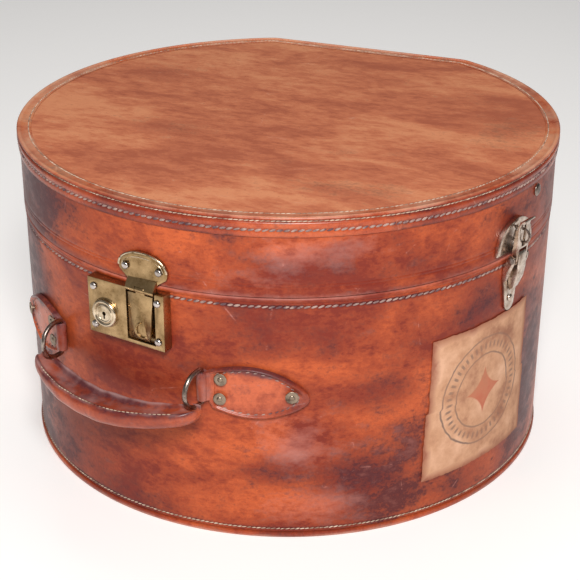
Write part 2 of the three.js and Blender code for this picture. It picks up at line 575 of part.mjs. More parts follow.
// A patch rivet, or the hole for it, square to the round side at an angle across the face.
function patchRivetTool(angle, y, isHole) {
  const seat = PLAN_RADIUS + GAP + PATCH.thickness + PATCH_RIVET.stand;
  const depth = seat - (PLAN_RADIUS - LEATHER + RIVET_FOOT - BORE_EASE);
  if (!isHole) {
    return rivetSolid(0, y, seat, depth, PATCH_RIVET, angle * DEG);
  }
  const radius = PATCH_RIVET.shank + RIVET_CLEAR;
  const rod = new THREE.CylinderGeometry(radius, radius, FAR, 10);
  return solid(rod.rotateX(Math.PI / 2).translate(0, y, PLAN_RADIUS).rotateY(angle * DEG));
}

// The grip: a bowed half-round bar, flat on top, round underneath, on the rings' bows.
function gripSolid() {
  const form = new THREE.CylinderGeometry(1, 1, 2, 16, 18);
  form.rotateZ(Math.PI / 2);
  const place = form.attributes.position;
  for (let i = 0; i < place.count; i++) {
    const along = place.getX(i);
    const share = 1 - along ** 2;      // 0 at the grip's ends, 1 at its middle
    const lerp = (a, b) => a + (b - a) * share;
    const past = Math.max(0, Math.abs(along) - GRIP_FORM.roundFrom);
    const endRound = Math.sqrt(Math.max(0, 1 - past ** 2 * GRIP_FORM.roundRate));
    const up = place.getY(i);
    const half = lerp(GRIP_SIZE.endHalf, GRIP_SIZE.midHalf) * endRound;
    const deep = lerp(GRIP_SIZE.endDeep, GRIP_SIZE.midDeep);
    const top = lerp(RING_CENTRE - RING_RADIUS + GRIP.endRise, RING_CENTRE - GRIP.midDrop);
    const shoulder = top - deep * GRIP_FORM.crown;
    const height = up > 0 ? top - (top - shoulder) * (1 - Math.min(1, up * 2))
      : shoulder + deep * (1 - GRIP_FORM.crown) * up;
    const out = lerp(RING_AXIS_OUT + GRIP.endOut, PLAN_RADIUS + GRIP.midOut);
    place.setXYZ(i, along * GRIP.half, height, out + place.getZ(i) * half);
  }
  let shape = solid(form);
  const slotHalf = RING.wire + (RING_RADIUS + RING.arm) * Math.sin(RING_SWING * DEG) + RING_CLEAR;
  const inner = RING_RADIUS - RING.wire - RING_CLEAR;
  const outer = RING_RADIUS + RING.wire + RING_CLEAR;
  const section = [
    [inner, -slotHalf], [outer, -slotHalf], [outer, slotHalf], [inner, slotHalf], [inner, -slotHalf],
  ];
  for (const side of [-1, 1]) {
    const slot = new THREE.LatheGeometry(section.map(([r, h]) => new THREE.Vector2(r, h)), 40);
    slot.rotateZ(Math.PI / 2).translate(side * RING.half, RING_CENTRE, RING_AXIS_OUT);
    shape = shape.subtract(solid(slot));
  }
  return shape;
}

function buildHandle() {
  const azimuth = FRONT_AZ + HANDLE_SHIFT;
  const meshes = [named('handle_grip', gripSolid(), 'leather')];
  for (const side of [-1, 1]) {
    const label = side < 0 ? 'left' : 'right';
    meshes.push(named(`d_ring_${label}`, dRing(side), 'steel'));
    meshes.push(named(`handle_patch_${label}`, handlePatch(side, azimuth), 'leather'));
    patchRivetPlaces().forEach(([angle, y], i) => {
      meshes.push(named(`patch_rivet_${label}_${i + 1}`, patchRivetTool(side * angle, y, false), 'steel'));
      bodyCuts.push(fromFace(patchRivetTool(side * angle, y, true), azimuth));
    });
  }
  return faceGroup(azimuth, meshes);
}

// ---- Side clasps --------------------------------------------------------------------------
class StapleCurve extends THREE.Curve {
  getPoint(t, target = new THREE.Vector3()) {
    const radius = (CLASP_STAPLE.high - CLASP_STAPLE.low) / 2;
    const start = LID_RADIUS - LEATHER + RIVET_FOOT;
    const arm = PLAN_RADIUS + CLASP_STAPLE.out - CLASP_STAPLE.wire - radius - start;
    const round = Math.PI * radius;
    const along = t * (round + 2 * arm);
    const y0 = BODY_HEIGHT + CLASP_STAPLE.low;
    const y1 = BODY_HEIGHT + CLASP_STAPLE.high;
    if (along < arm) {
      return target.set(0, y0, start + along);
    }
    if (along > arm + round) {
      return target.set(0, y1, start + 2 * arm + round - along);
    }
    const angle = (along - arm) / radius;
    return target.set(0, (y0 + y1) / 2 - radius * Math.cos(angle), start + arm + radius * Math.sin(angle));
  }
}

function claspStaple() {
  const section = new THREE.Shape();
  section.absarc(0, 0, CLASP_STAPLE.wire, 0, Math.PI * 2, false);
  return solid(new THREE.ExtrudeGeometry(section, {
    steps: 18, curveSegments: 3, bevelEnabled: false, extrudePath: new StapleCurve(),
  }));
}

function halfDisc(radius) {
  const points = [[-radius, BODY_HEIGHT + CLASP.plateRise], [radius, BODY_HEIGHT + CLASP.plateRise]];
  const centreY = BODY_HEIGHT + CLASP.plateRise + CLASP.skirt;
  for (let i = 0; i <= 14; i++) {
    const angle = (Math.PI * i) / 14;
    points.push([radius * Math.cos(angle), centreY + radius * Math.sin(angle)]);
  }
  return points;
}

// The lid plate: a half disc with a raised rim, bent to the lid's side.
function claspPlate(azimuth) {
  const foot = -LID_PROUD - GAP;
  let shape = onSide(halfDisc(CLASP.plateRadius), azimuth, foot - CLASP.plate, foot);
  const rim = onSide(halfDisc(CLASP.plateRadius), azimuth, foot - CLASP.plate - CLASP.rimRise, foot - WELD)
    .subtract(solid(extrude(outline(halfDisc(CLASP.plateRadius - CLASP.rim)), 0, PLAN_RADIUS + FAR)
      .translate(0, -0.01, 0)))
    .subtract(block(-FAR, FAR, 0, BODY_HEIGHT + CLASP.plateRise + CLASP.rimFoot, 0, PLAN_RADIUS + FAR));
  shape = shape.add(rim);
  return cutStapleHoles(shape);
}

function cutStapleHoles(shape) {
  for (const rise of [CLASP_STAPLE.low, CLASP_STAPLE.high]) {
    shape = shape.subtract(stapleHole(rise));
  }
  return shape;
}

function stapleHole(rise) {
  const radius = CLASP_STAPLE.wire + CLASP_STAPLE.hole;
  return outwardRod(0, BODY_HEIGHT + rise, PLAN_RADIUS / 2, PLAN_RADIUS + FAR, radius, 10);
}

// The base on the body: a tapering foot and two cheeks that carry the pivot pin.
function claspBase(azimuth) {
  const y0 = BODY_HEIGHT - CLASP_BASE.drop;
  const bottom = y0 - CLASP_BASE.length + CLASP_BASE.foot;
  const points = [[-CLASP_BASE.half, y0], [-CLASP_BASE.half, y0 - CLASP_BASE.taper],
    [-CLASP_BASE.foot, bottom]];
  for (let i = 1; i < 8; i++) {
    const angle = Math.PI + (Math.PI * i) / 8;
    points.push([CLASP_BASE.foot * Math.cos(angle), bottom + CLASP_BASE.foot * Math.sin(angle)]);
  }
  points.push([CLASP_BASE.foot, bottom], [CLASP_BASE.half, y0 - CLASP_BASE.taper], [CLASP_BASE.half, y0]);
  let shape = onSide(points, azimuth, -GAP - CLASP_BASE.thickness, -GAP);
  const pivotY = BODY_HEIGHT + CLASP_LEVER.pivotRise;
  const pivotOut = PLAN_RADIUS + CLASP_LEVER.pivotOut;
  const inner = PLAN_RADIUS + GAP + 0.2;
  for (const side of [-1, 1]) {
    const x0 = side > 0 ? CLASP_BASE.half - CLASP_BASE.cheek : -CLASP_BASE.half;
    const cheek = [
      [inner, y0 - 14], [inner + 3, y0 - 12], [pivotOut + 2.4, pivotY - 2.6], [pivotOut + 2.6, pivotY + 1.4],
      [pivotOut + 1, pivotY + 3], [pivotOut - 1.6, pivotY + 3], [pivotOut - 3.6, pivotY - 1],
      [inner + 1, y0 - 0.5], [inner, y0 - 0.5],
    ];
    shape = shape.add(sideView(cheek, x0, x0 + CLASP_BASE.cheek));
  }
  shape = shape.subtract(drumInFace(-GAP, azimuth));
  shape = shape.subtract(acrossRod(-FAR, FAR, pivotY, pivotOut, CLASP_PIN + CLASP_CLEAR - BORE_EASE, 12));
  return shape.subtract(rivetHole(0, claspRivetY(), 0, PLAN_RADIUS + FAR));
}

function claspRivetY() {
  return BODY_HEIGHT - CLASP_RIVET_DROP;
}

// The lever: two side arms, a slotted web that drops over the staple and a curled tip.
function claspLever() {
  const { half, side, tip, webStart } = CLASP_LEVER;
  const y0 = BODY_HEIGHT;
  const pivotY = y0 + CLASP_LEVER.pivotRise;
  const pivotOut = PLAN_RADIUS + CLASP_LEVER.pivotOut;
  const web = pivotOut + CLASP_LEVER.webOut;
  const arm = [
    [pivotOut - 2.2, pivotY - 1.4], [pivotOut - 0.8, pivotY - 2.8], [pivotOut + 1.6, pivotY - 2.6],
    [pivotOut + 3, pivotY], [web + 1.2, y0 + webStart], [web + 1, y0 + tip - 7], [web - 1.6, y0 + tip - 8],
    [pivotOut - 0.7, y0 + webStart], [pivotOut - 2.2, pivotY + 1.6],
  ];
  let shape = sideView(arm, half - side, half).add(sideView(arm, -half, side - half));
  const blade = [
    [web, y0 + webStart], [web + 1.3, y0 + webStart], [web + 1.2, y0 + tip - 6], [web + 2.6, y0 + tip - 2.6],
    [web + 5.4, y0 + tip - 0.6], [web + 5, y0 + tip + 0.7], [web + 1.4, y0 + tip - 1.2],
    [web - 0.1, y0 + tip - 5.6],
  ];
  shape = shape.add(sideView(blade, -half, half));
  shape = shape.subtract(block(-CLASP_SLOT.half, CLASP_SLOT.half, y0 + webStart + CLASP_SLOT.foot,
    y0 + CLASP_STAPLE.high + CLASP_SLOT.head, PLAN_RADIUS, PLAN_RADIUS + FAR));
  return shape.subtract(acrossRod(-FAR, FAR, pivotY, pivotOut, CLASP_PIN + CLASP_CLEAR - BORE_EASE, 12));
}

function claspPin() {
  const y = BODY_HEIGHT + CLASP_LEVER.pivotRise;
  const out = PLAN_RADIUS + CLASP_LEVER.pivotOut;
  const end = CLASP_BASE.half + CLASP_CLEAR;
  const head = CLASP_PIN_HEAD;
  const half = [
    [CLASP_PIN, end], [head.radius, end], [head.edge, end + head.low], [head.crown, end + head.high],
    [0, end + head.rise],
  ];
  const profile = [...half.map(([r, h]) => [r, -h]).reverse(), ...half];
  const lathe = new THREE.LatheGeometry(profile.map(([r, h]) => new THREE.Vector2(r, h)), 12);
  return solid(lathe.rotateZ(-Math.PI / 2).translate(0, y, out));
}

// The spoon-shaped spring cover that stands between the lever's arms.
function claspCover(azimuth) {
  const y0 = BODY_HEIGHT;
  const { half, top, bottom, out } = CLASP_COVER;
  const r = PLAN_RADIUS;
  const pivotY = y0 + CLASP_LEVER.pivotRise;
  const pivotOut = r + CLASP_LEVER.pivotOut;
  const side = [
    [r + 2, y0 + bottom], [r + 5.5, y0 + bottom + 3], [r + out - 0.8, y0 + bottom + 12],
    [r + out + 0.4, y0 - 7], [r + out + 0.2, y0 + top - 2.4], [r + out - 0.8, y0 + top],
    [r + 8, y0 + top - 0.6], [r + 8.2, y0 - 5.5], [r + 4.6, y0 - 7.5], [r + 3, y0 - 9], [r + 2, y0 - 10],
  ];
  const front = new THREE.Shape();
  front.moveTo(-half, y0 + top + 1);
  front.lineTo(-half, y0 - 12);
  front.quadraticCurveTo(-half, y0 + bottom, 0, y0 + bottom - 1);
  front.quadraticCurveTo(half, y0 + bottom, half, y0 - 12);
  front.lineTo(half, y0 + top + 1);
  let shape = sideView(side, -half, half).intersect(solid(extrude(front, 0, r + FAR, 8)));
  shape = shape.subtract(drumInFace(-GAP * 2 - CLASP_BASE.thickness, azimuth));
  return shape.subtract(acrossRod(-FAR, FAR, pivotY, pivotOut, CLASP_PIN + CLASP_CLEAR, 12));
}

function buildClasp(side) {
  const azimuth = FRONT_AZ + side * CLASP_SPREAD;
  const label = side < 0 ? 'left' : 'right';
  const meshes = [
    named(`clasp_plate_${label}`, claspPlate(azimuth), 'steel'),
    named(`clasp_staple_${label}`, claspStaple(), 'steel'),
    named(`clasp_base_${label}`, claspBase(azimuth), 'steel'),
    named(`clasp_lever_${label}`, claspLever(), 'steel'),
    named(`clasp_pin_${label}`, claspPin(), 'steel'),
    named(`clasp_cover_${label}`, claspCover(azimuth), 'steel'),
    named(`clasp_rivet_${label}`, rivetSolid(0, claspRivetY(), PLAN_RADIUS + 2 * GAP + CLASP_BASE.thickness,
      2 * GAP + CLASP_BASE.thickness + LEATHER - RIVET_FOOT), 'steel'),
  ];
  bodyCuts.push(fromFace(rivetHole(0, claspRivetY(), PLAN_RADIUS / 2, PLAN_RADIUS + FAR), azimuth));
  for (const rise of [CLASP_STAPLE.low, CLASP_STAPLE.high]) {
    lidCuts.push(fromFace(stapleHole(rise), azimuth));
  }
  return faceGroup(azimuth, meshes);
}

function buildStud(side) {
  const azimuth = FRONT_AZ + side * STUD_SPREAD;
  const size = { head: STUD_RADIUS, rise: 1.2, shank: 1.4 };
  const seat = LID_RADIUS + GAP;
  const y = BODY_HEIGHT + STUD_RISE;
  lidCuts.push(fromFace(rivetHole(0, y, PLAN_RADIUS / 2, PLAN_RADIUS + FAR, size), azimuth));
  const stud = rivetSolid(0, y, seat, GAP + LEATHER - RIVET_FOOT, size);
  return faceGroup(azimuth, [named(side < 0 ? 'lid_stud_left' : 'lid_stud_right', stud, 'steel')]);
}

// ---- Hinges on the straight side ----------------------------------------------------------
// In face coordinates the hinge side looks out along Z, so out is the box's +Y.
function hingeLeaf(x, isLid) {
  const back = FLAT_OFFSET + GAP + (isLid ? LID_PROUD : 0);
  const half = HINGE.width / 2;
  const third = HINGE.width / 6;
  const near = HINGE.knuckle + HINGE_TONGUE.near;
  const up = isLid ? 1 : -1;
  const ys = [HINGE_Z + up * near, HINGE_Z + up * HINGE.leaf];
  let shape = block(x - half, x + half, Math.min(...ys), Math.max(...ys), back, back + HINGE.thickness);
  const spans = isLid ? [[-third, third]] : [[-half, -third], [third, half]];
  for (const [a, b] of spans) {
    const inA = a === -half ? 0 : HINGE_CLEAR / 2;
    const inB = b === half ? 0 : HINGE_CLEAR / 2;
    const tongue = [HINGE_Z, HINGE_Z + up * (near + HINGE_TONGUE.weld)];
    shape = shape.add(block(x + a + inA, x + b - inB, Math.min(...tongue), Math.max(...tongue),
      back, back + HINGE.thickness));
    shape = shape.add(acrossRod(x + a + inA, x + b - inB, HINGE_Z, HINGE_Y, HINGE.knuckle, 16));
  }
  const bore = HINGE.pin + HINGE_CLEAR - BORE_EASE;
  return shape.subtract(acrossRod(x - FAR, x + FAR, HINGE_Z, HINGE_Y, bore, 12));
}

function buildHinges() {
  const meshes = [];
  [-1, 1].forEach((side, i) => {
    const x = side * HINGE.spread;
    const half = HINGE.width / 2;
    meshes.push(named(`hinge_body_leaf_${i + 1}`, hingeLeaf(x, false), 'brass'));
    meshes.push(named(`hinge_lid_leaf_${i + 1}`, hingeLeaf(x, true), 'brass'));
    const pin = acrossRod(x - half, x + half, HINGE_Z, HINGE_Y, HINGE.pin, 12);
    meshes.push(named(`hinge_pin_${i + 1}`, pin, 'steel'));
  });
  return faceGroup(90, meshes);
}

// ---- Label --------------------------------------------------------------------------------
function buildLabel() {
  const azimuth = FRONT_AZ + LABEL.shift;
  const half = LABEL.width / 2;
  const middle = BODY_HEIGHT - LABEL.drop;
  const low = middle - LABEL.height / 2;
  const high = middle + LABEL.height / 2;
  const sheet = LABEL_CORNERS.map(([share, rise], i) => [half * share, (i < 2 ? low : high) + rise]);
  const shape = onSide(sheet, azimuth, -GAP - LABEL.thickness, -GAP);
  return faceGroup(azimuth, [named('paper_label', shape, 'paper')]);
}

// ---- Body and lid -------------------------------------------------------------------------
function cutAll(shape, cutters) {
  return cutters.reduce((left, cutter) => left.subtract(cutter), shape);
}

function buildBody() {
  const rim = planPoints(-BASE_LIP);
  const floor = BASE_THICKNESS + GAP;
  const base = solid(extrude(outline(rim), 0, BASE_THICKNESS));
  const wall = cutAll(planTube(0, LEATHER, floor, BODY_HEIGHT), bodyCuts);
  const board = planTube(BOARD_INSET, BOARD_INSET + BOARD, floor, BODY_HEIGHT + COLLAR_RISE);
  const lining = planTube(LINING_INSET, LINING_INSET + LINING, floor, BODY_HEIGHT + COLLAR_RISE - LINING)
    .add(planSlab(LINING_INSET, floor, floor + LINING));
  return [
    named('base_panel', base, 'leather'),
    named('body_side', wall, 'leather'),
    named('body_board', board, 'board'),
    named('body_lining', lining, 'lining'),
  ];
}

function buildLid() {
  const outside = -LID_PROUD;
  const low = BODY_HEIGHT + MOUTH_GAP;
  const side = cutAll(planTube(outside, outside + LEATHER, low, TOP_UNDER - GAP), lidCuts);
  const top = planSlab(outside, TOP_UNDER, TOP_UNDER + TOP_THICKNESS);
  const bindOut = outside - GAP - BINDING_THICKNESS;
  const binding = planTube(bindOut, outside - GAP, HEIGHT - BINDING_SIDE, HEIGHT)
    .add(planTube(bindOut, bindOut + BINDING_TOP, HEIGHT - BINDING_THICKNESS, HEIGHT));
  const liningOut = outside + LEATHER + GAP;
  const liningLow = BODY_HEIGHT + COLLAR_RISE + COLLAR_CLEAR;
  const liningTop = TOP_UNDER - GAP;
  const lining = planTube(liningOut, liningOut + LINING, liningLow, liningTop)
    .add(planSlab(liningOut, liningTop - LINING, liningTop));
  return [
    named('lid_side', side, 'leather'),
    named('lid_top', top, 'lidLeather'),
    named('lid_binding', binding, 'leather'),
    named('lid_lining', lining, 'lining'),
  ];
}

const hatBox = new THREE.Group();
hatBox.add(buildLock(), buildHandle());
for (const side of [-1, 1]) {
  hatBox.add(buildClasp(side), buildStud(side));
}
hatBox.add(buildHinges(), buildLabel(), ...buildBody(), ...buildLid());

export default hatBox;
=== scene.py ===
"""Old leather hat box: a stitched hide drum, bound lid, brass lock, side clasps and carrying handle."""
import math
import random

import bmesh
import bpy
from mathutils import Matrix, Vector, noise


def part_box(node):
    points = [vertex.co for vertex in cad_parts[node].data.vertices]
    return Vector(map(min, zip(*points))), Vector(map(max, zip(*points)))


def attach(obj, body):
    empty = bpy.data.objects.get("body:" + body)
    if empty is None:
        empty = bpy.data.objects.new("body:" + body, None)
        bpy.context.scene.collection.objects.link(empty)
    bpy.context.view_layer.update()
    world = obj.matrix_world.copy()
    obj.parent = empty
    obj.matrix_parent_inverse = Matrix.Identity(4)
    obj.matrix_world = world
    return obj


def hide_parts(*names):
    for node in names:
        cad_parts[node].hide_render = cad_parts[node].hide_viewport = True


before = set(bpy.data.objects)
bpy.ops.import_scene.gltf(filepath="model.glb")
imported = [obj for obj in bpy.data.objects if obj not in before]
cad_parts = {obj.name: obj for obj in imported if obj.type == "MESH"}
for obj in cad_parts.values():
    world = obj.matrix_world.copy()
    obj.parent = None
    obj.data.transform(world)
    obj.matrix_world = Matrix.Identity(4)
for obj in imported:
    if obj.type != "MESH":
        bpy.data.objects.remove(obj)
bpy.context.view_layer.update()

# ---- Sizes, in metres ---------------------------------------------------------------------
MM = 0.001
PLAN_RADIUS = 200 * MM
FLAT_OFFSET = 181 * MM
FLAT_CORNER = 16 * MM
BODY_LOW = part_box("body_side")[0].z
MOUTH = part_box("body_side")[1].z
LID_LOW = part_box("lid_side")[0].z
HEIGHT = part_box("lid_binding")[1].z
LEATHER = 3 * MM
GAP = 0.3 * MM

LOCK_AZ = 260.0
HANDLE_AZ = 257.5
CLASP_AZ = {"right": 342.3, "left": 177.7}
STUD_AZ = {"right": 351.7, "left": 168.3}
LABEL_AZ = 335.9

# Across and up, in a face, of the rivets and of the key barrel.
LOCK_RIVETS = [(-26.5, 177.4), (-26.5, 148.8), (26.5, 177.4), (26.5, 148.8)]
HASP_RIVETS = [(-0.5, 198), (25.5, 198)]
BARREL_PLACE = (-16.5, 160)
STUD_UP = 224 * MM
CLASP_RIVET_UP = 153.5 * MM
# Degrees round the side from the handle's middle, and up, of the washers in a patch.
PATCH_RIVETS = [(21.67, 126.6), (21.47, 111.8), (35.17, 115.8)]
# Along and away from the hinge line, of the rivets in a leaf: a triangle on its flat part.
HINGE_RIVETS = [(-12, 11), (12, 11), (0, 22)]
HINGE_THICK = 1.5 * MM

LID_PROUD = 0.8 * MM
LABEL_WIDTH = 106 * MM
LABEL_HEIGHT = 111 * MM
LABEL_MIDDLE = 87 * MM
HASP_RIVET_RISE = 0.6 * MM
LOCK_FRONT = PLAN_RADIUS + 6 * MM

RING_HALF = 63 * MM
RING_CENTRE = 120 * MM
RING_RADIUS = 13 * MM
RING_WIRE = 1.7 * MM
RING_SEAT = 194.02 * MM
RING_AXIS = RING_SEAT + 6 * MM

# ---- Placing ------------------------------------------------------------------------------
def face(azimuth):
    """Turns (across, up, out) at an azimuth of the box into the box's own X, Y, Z."""
    a = math.radians(azimuth)
    out = Vector((math.cos(a), math.sin(a), 0))
    across = Vector((-math.sin(a), math.cos(a), 0))
    return Matrix((across, Vector((0, 0, 1)), out)).transposed().to_4x4()


def side_out(across, radius=PLAN_RADIUS):
    """Distance out to the round side at a place across a face."""
    return math.sqrt(radius ** 2 - across ** 2)


ROUND_STEPS = 252
CORNER_STEPS = 6
FLAT_STEPS = 30


def plan_spots():
    """Points round the plan with their outward normals: the round side, two corners, the straight side."""
    centre_y = FLAT_OFFSET - FLAT_CORNER
    centre_x = math.sqrt((PLAN_RADIUS - FLAT_CORNER) ** 2 - centre_y ** 2)
    start = math.atan2(centre_y, centre_x)
    spots = []

    def arc(centre, radius, a0, a1, steps):
        for i in range(steps):
            a = a0 + (a1 - a0) * i / steps
            normal = Vector((math.cos(a), math.sin(a)))
            spots.append((Vector(centre) + normal * radius, normal))

    arc((centre_x, centre_y), FLAT_CORNER, start, math.pi / 2, CORNER_STEPS)
    for i in range(FLAT_STEPS):
        x = centre_x * (1 - 2 * i / FLAT_STEPS)
        spots.append((Vector((x, FLAT_OFFSET)), Vector((0, 1))))
    arc((-centre_x, centre_y), FLAT_CORNER, math.pi / 2, math.pi - start, CORNER_STEPS)
    arc((0, 0), PLAN_RADIUS, math.pi - start, 2 * math.pi + start, ROUND_STEPS)
    return spots


PLAN = plan_spots()


def shrunk(loop, share):
    """A loop drawn in towards the middle of the plan."""
    return [(x * share, y * share, z) for x, y, z in loop]


def plan_loop(offset, z, wave=0.0):
    """The plan outline at an offset outwards and a height, with an old hide's slow waves."""
    points = []
    for spot, normal in PLAN:
        place = Vector((spot.x, spot.y, z))
        slack = wave * (noise.noise(place * 14) - 0.6) if wave else 0
        reach = spot + normal * (offset + slack)
        points.append((reach.x, reach.y, z))
    return points


# ---- Modelling ----------------------------------------------------------------------------
def deselect():
    """Leaves edit mode and selects nothing."""
    if bpy.context.object and bpy.context.object.mode != "OBJECT":
        bpy.ops.object.mode_set(mode="OBJECT")
    bpy.ops.object.select_all(action="DESELECT")


def lay(piece, points):
    """Lays the selected loop of vertices on the points, in order."""
    mesh = bmesh.from_edit_mesh(piece.data)
    loop = [v for v in mesh.verts if v.select]
    for vertex, point in zip(loop, points):
        vertex.co = point
    bmesh.update_edit_mesh(piece.data, loop_triangles=False, destructive=False)


def loft(name, loops, ring=False):
    """A skin from loop to loop: a circle is added on the first loop and extruded to each next one.
    Its two ends are capped, or bridged to each other in a ring."""
    deselect()
    bpy.ops.mesh.primitive_circle_add(vertices=len(loops[0]), radius=MM)
    piece = bpy.context.object
    piece.name = name
    bpy.ops.object.mode_set(mode="EDIT")
    bpy.ops.mesh.select_all(action="SELECT")
    lay(piece, loops[0])
    for points in loops[1:]:
        bpy.ops.mesh.extrude_edges_move()
        lay(piece, points)
    count = len(loops[0])
    mesh = bmesh.from_edit_mesh(piece.data)
    mesh.verts.ensure_lookup_table()
    ends = [set(range(count)), set(range(len(mesh.verts) - count, len(mesh.verts)))]
    for group in ([ends[0] | ends[1]] if ring else ends):
        bpy.ops.mesh.select_all(action="DESELECT")
        mesh = bmesh.from_edit_mesh(piece.data)
        for edge in mesh.edges:
            if len(edge.link_faces) == 1 and all(v.index in group for v in edge.verts):
                edge.select_set(True)
        bmesh.update_edit_mesh(piece.data)
        if ring:
            bpy.ops.mesh.bridge_edge_loops()
        else:
            bpy.ops.mesh.edge_face_add()
    bpy.ops.mesh.select_all(action="SELECT")
    bpy.ops.mesh.normals_make_consistent(inside=False)
    bpy.ops.object.mode_set(mode="OBJECT")
    smooth(piece)
    return piece


def circle(radius, height, steps=20):
    """A ring of points about Z at a height."""
    return [(radius * math.cos(math.tau * i / steps), radius * math.sin(math.tau * i / steps), height)
            for i in range(steps)]


def lathe(name, profile, steps=32):
    """A turned piece standing on Z, from (radius, height) points, closed at both ends."""
    return loft(name, [circle(radius, height, steps) for radius, height in profile])


def smooth(piece, angle=40):
    """Shades the faces smooth, with edges past the angle kept sharp."""
    deselect()
    piece.select_set(True)
    bpy.context.view_layer.objects.active = piece
    bpy.ops.object.shade_smooth_by_angle(angle=math.radians(angle))


def modify(piece, kind, **settings):
    """Adds a modifier and applies it."""
    deselect()
    piece.select_set(True)
    bpy.context.view_layer.objects.active = piece
    made = piece.modifiers.new(kind.title(), kind)
    for key, value in settings.items():
        setattr(made, key, value)
    bpy.ops.object.modifier_apply(modifier=made.name)


def paint(piece, name, amount):
    """Keeps a number from 0 to 1 on each vertex, for a material to read."""
    layer = piece.data.attributes.new(name, "FLOAT", "POINT")
    for i, vertex in enumerate(piece.data.vertices):
        layer.data[i].value = max(0.0, min(1.0, amount(vertex.co)))


def finished(piece, body, slot, material, *nodes):
    """Gives the piece its material and its body, and hides the CAD nodes that it stands for. The slot is not
    used.
    """
    piece.data.materials.clear()
    piece.data.materials.append(material)
    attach(piece, body)
    if nodes:
        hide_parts(*nodes)
    return piece


def copies(name, model, frames):
    """One object made of a copy of the model at each of the frames."""
    whole = bmesh.new()
    for place in frames:
        start = len(whole.verts)
        whole.from_mesh(model.data)
        whole.verts.ensure_lookup_table()
        bmesh.ops.transform(whole, matrix=place, verts=whole.verts[start:])
    mesh = bpy.data.meshes.new(name)
    whole.to_mesh(mesh)
    whole.free()
    piece = bpy.data.objects.new(name, mesh)
    bpy.context.scene.collection.objects.link(piece)
    smooth(piece, 60)
    return piece


EDGE_ROUND = 0.25 * MM
EDGE_ANGLE = 35


def refined(node):
    """A copy of a CAD node with its seams merged, its flat faces whole and its edges rounded."""
    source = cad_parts[node]
    piece = source.copy()
    piece.data = source.data.copy()
    piece.parent = None
    piece.name = node + "_finish"
    for key in list(piece.keys()):
        del piece[key]
    bpy.context.scene.collection.objects.link(piece)
    deselect()
    piece.select_set(True)
    bpy.context.view_layer.objects.active = piece
    bpy.ops.object.mode_set(mode="EDIT")
    bpy.ops.mesh.select_all(action="SELECT")
    bpy.ops.mesh.remove_doubles(threshold=0.01 * MM)
    bpy.ops.mesh.dissolve_limited(angle_limit=math.radians(1.5))
    bpy.ops.object.mode_set(mode="OBJECT")
    modify(piece, "BEVEL", width=EDGE_ROUND, segments=2, limit_method="ANGLE",
           angle_limit=math.radians(EDGE_ANGLE), use_clamp_overlap=True)
    smooth(piece, 50)
    return piece


# ---- Materials ----------------------------------------------------------------------------
def tone(code):
    """An sRGB hex colour as linear RGBA."""
    values = [int(code[i:i + 2], 16) / 255 for i in (1, 3, 5)]
    linear = [v / 12.92 if v <= 0.04045 else ((v + 0.055) / 1.055) ** 2.4 for v in values]
    return (*linear, 1.0)


def add(tree, kind, inputs=None, stops=None, **settings):
    """Adds a shader node with its settings, its values or links, and a colour ramp's stops."""
    made = tree.nodes.new("ShaderNode" + kind)
    for key, value in settings.items():
        setattr(made, key, value)
    for key, value in (inputs or {}).items():
        if isinstance(value, bpy.types.NodeSocket):
            tree.links.new(value, made.inputs[key])
        else:
            made.inputs[key].default_value = value
    if stops:
        elements = made.color_ramp.elements
        while len(elements) < len(stops):
            elements.new(0.5)
        for element, (place, colour) in zip(elements, stops):
            element.position = place
            element.color = tone(colour) if isinstance(colour, str) else (colour, colour, colour, 1)
    return made


def new_material(name):
    """An empty node tree with its shader wired to the output."""
    made = bpy.data.materials.new(name)
    made.use_nodes = True
    tree = made.node_tree
    tree.nodes.clear()
    shader = add(tree, "BsdfPrincipled")
    add(tree, "OutputMaterial", {"Surface": shader.outputs[0]})
    return made, tree, shader


def mix(tree, share, first, second, blend="MIX"):
    """Mixes two colours, sockets or hex, by a share."""
    first = tone(first) if isinstance(first, str) else first
    second = tone(second) if isinstance(second, str) else second
    return add(tree, "Mix", {0: share, 6: first, 7: second}, data_type="RGBA", blend_type=blend,
               clamp_factor=True).outputs[2]


def calc(tree, operation, a, b=0.5, c=0.0):
    """One sum on sockets or numbers."""
    return add(tree, "Math", {0: a, 1: b, 2: c}, operation=operation).outputs[0]


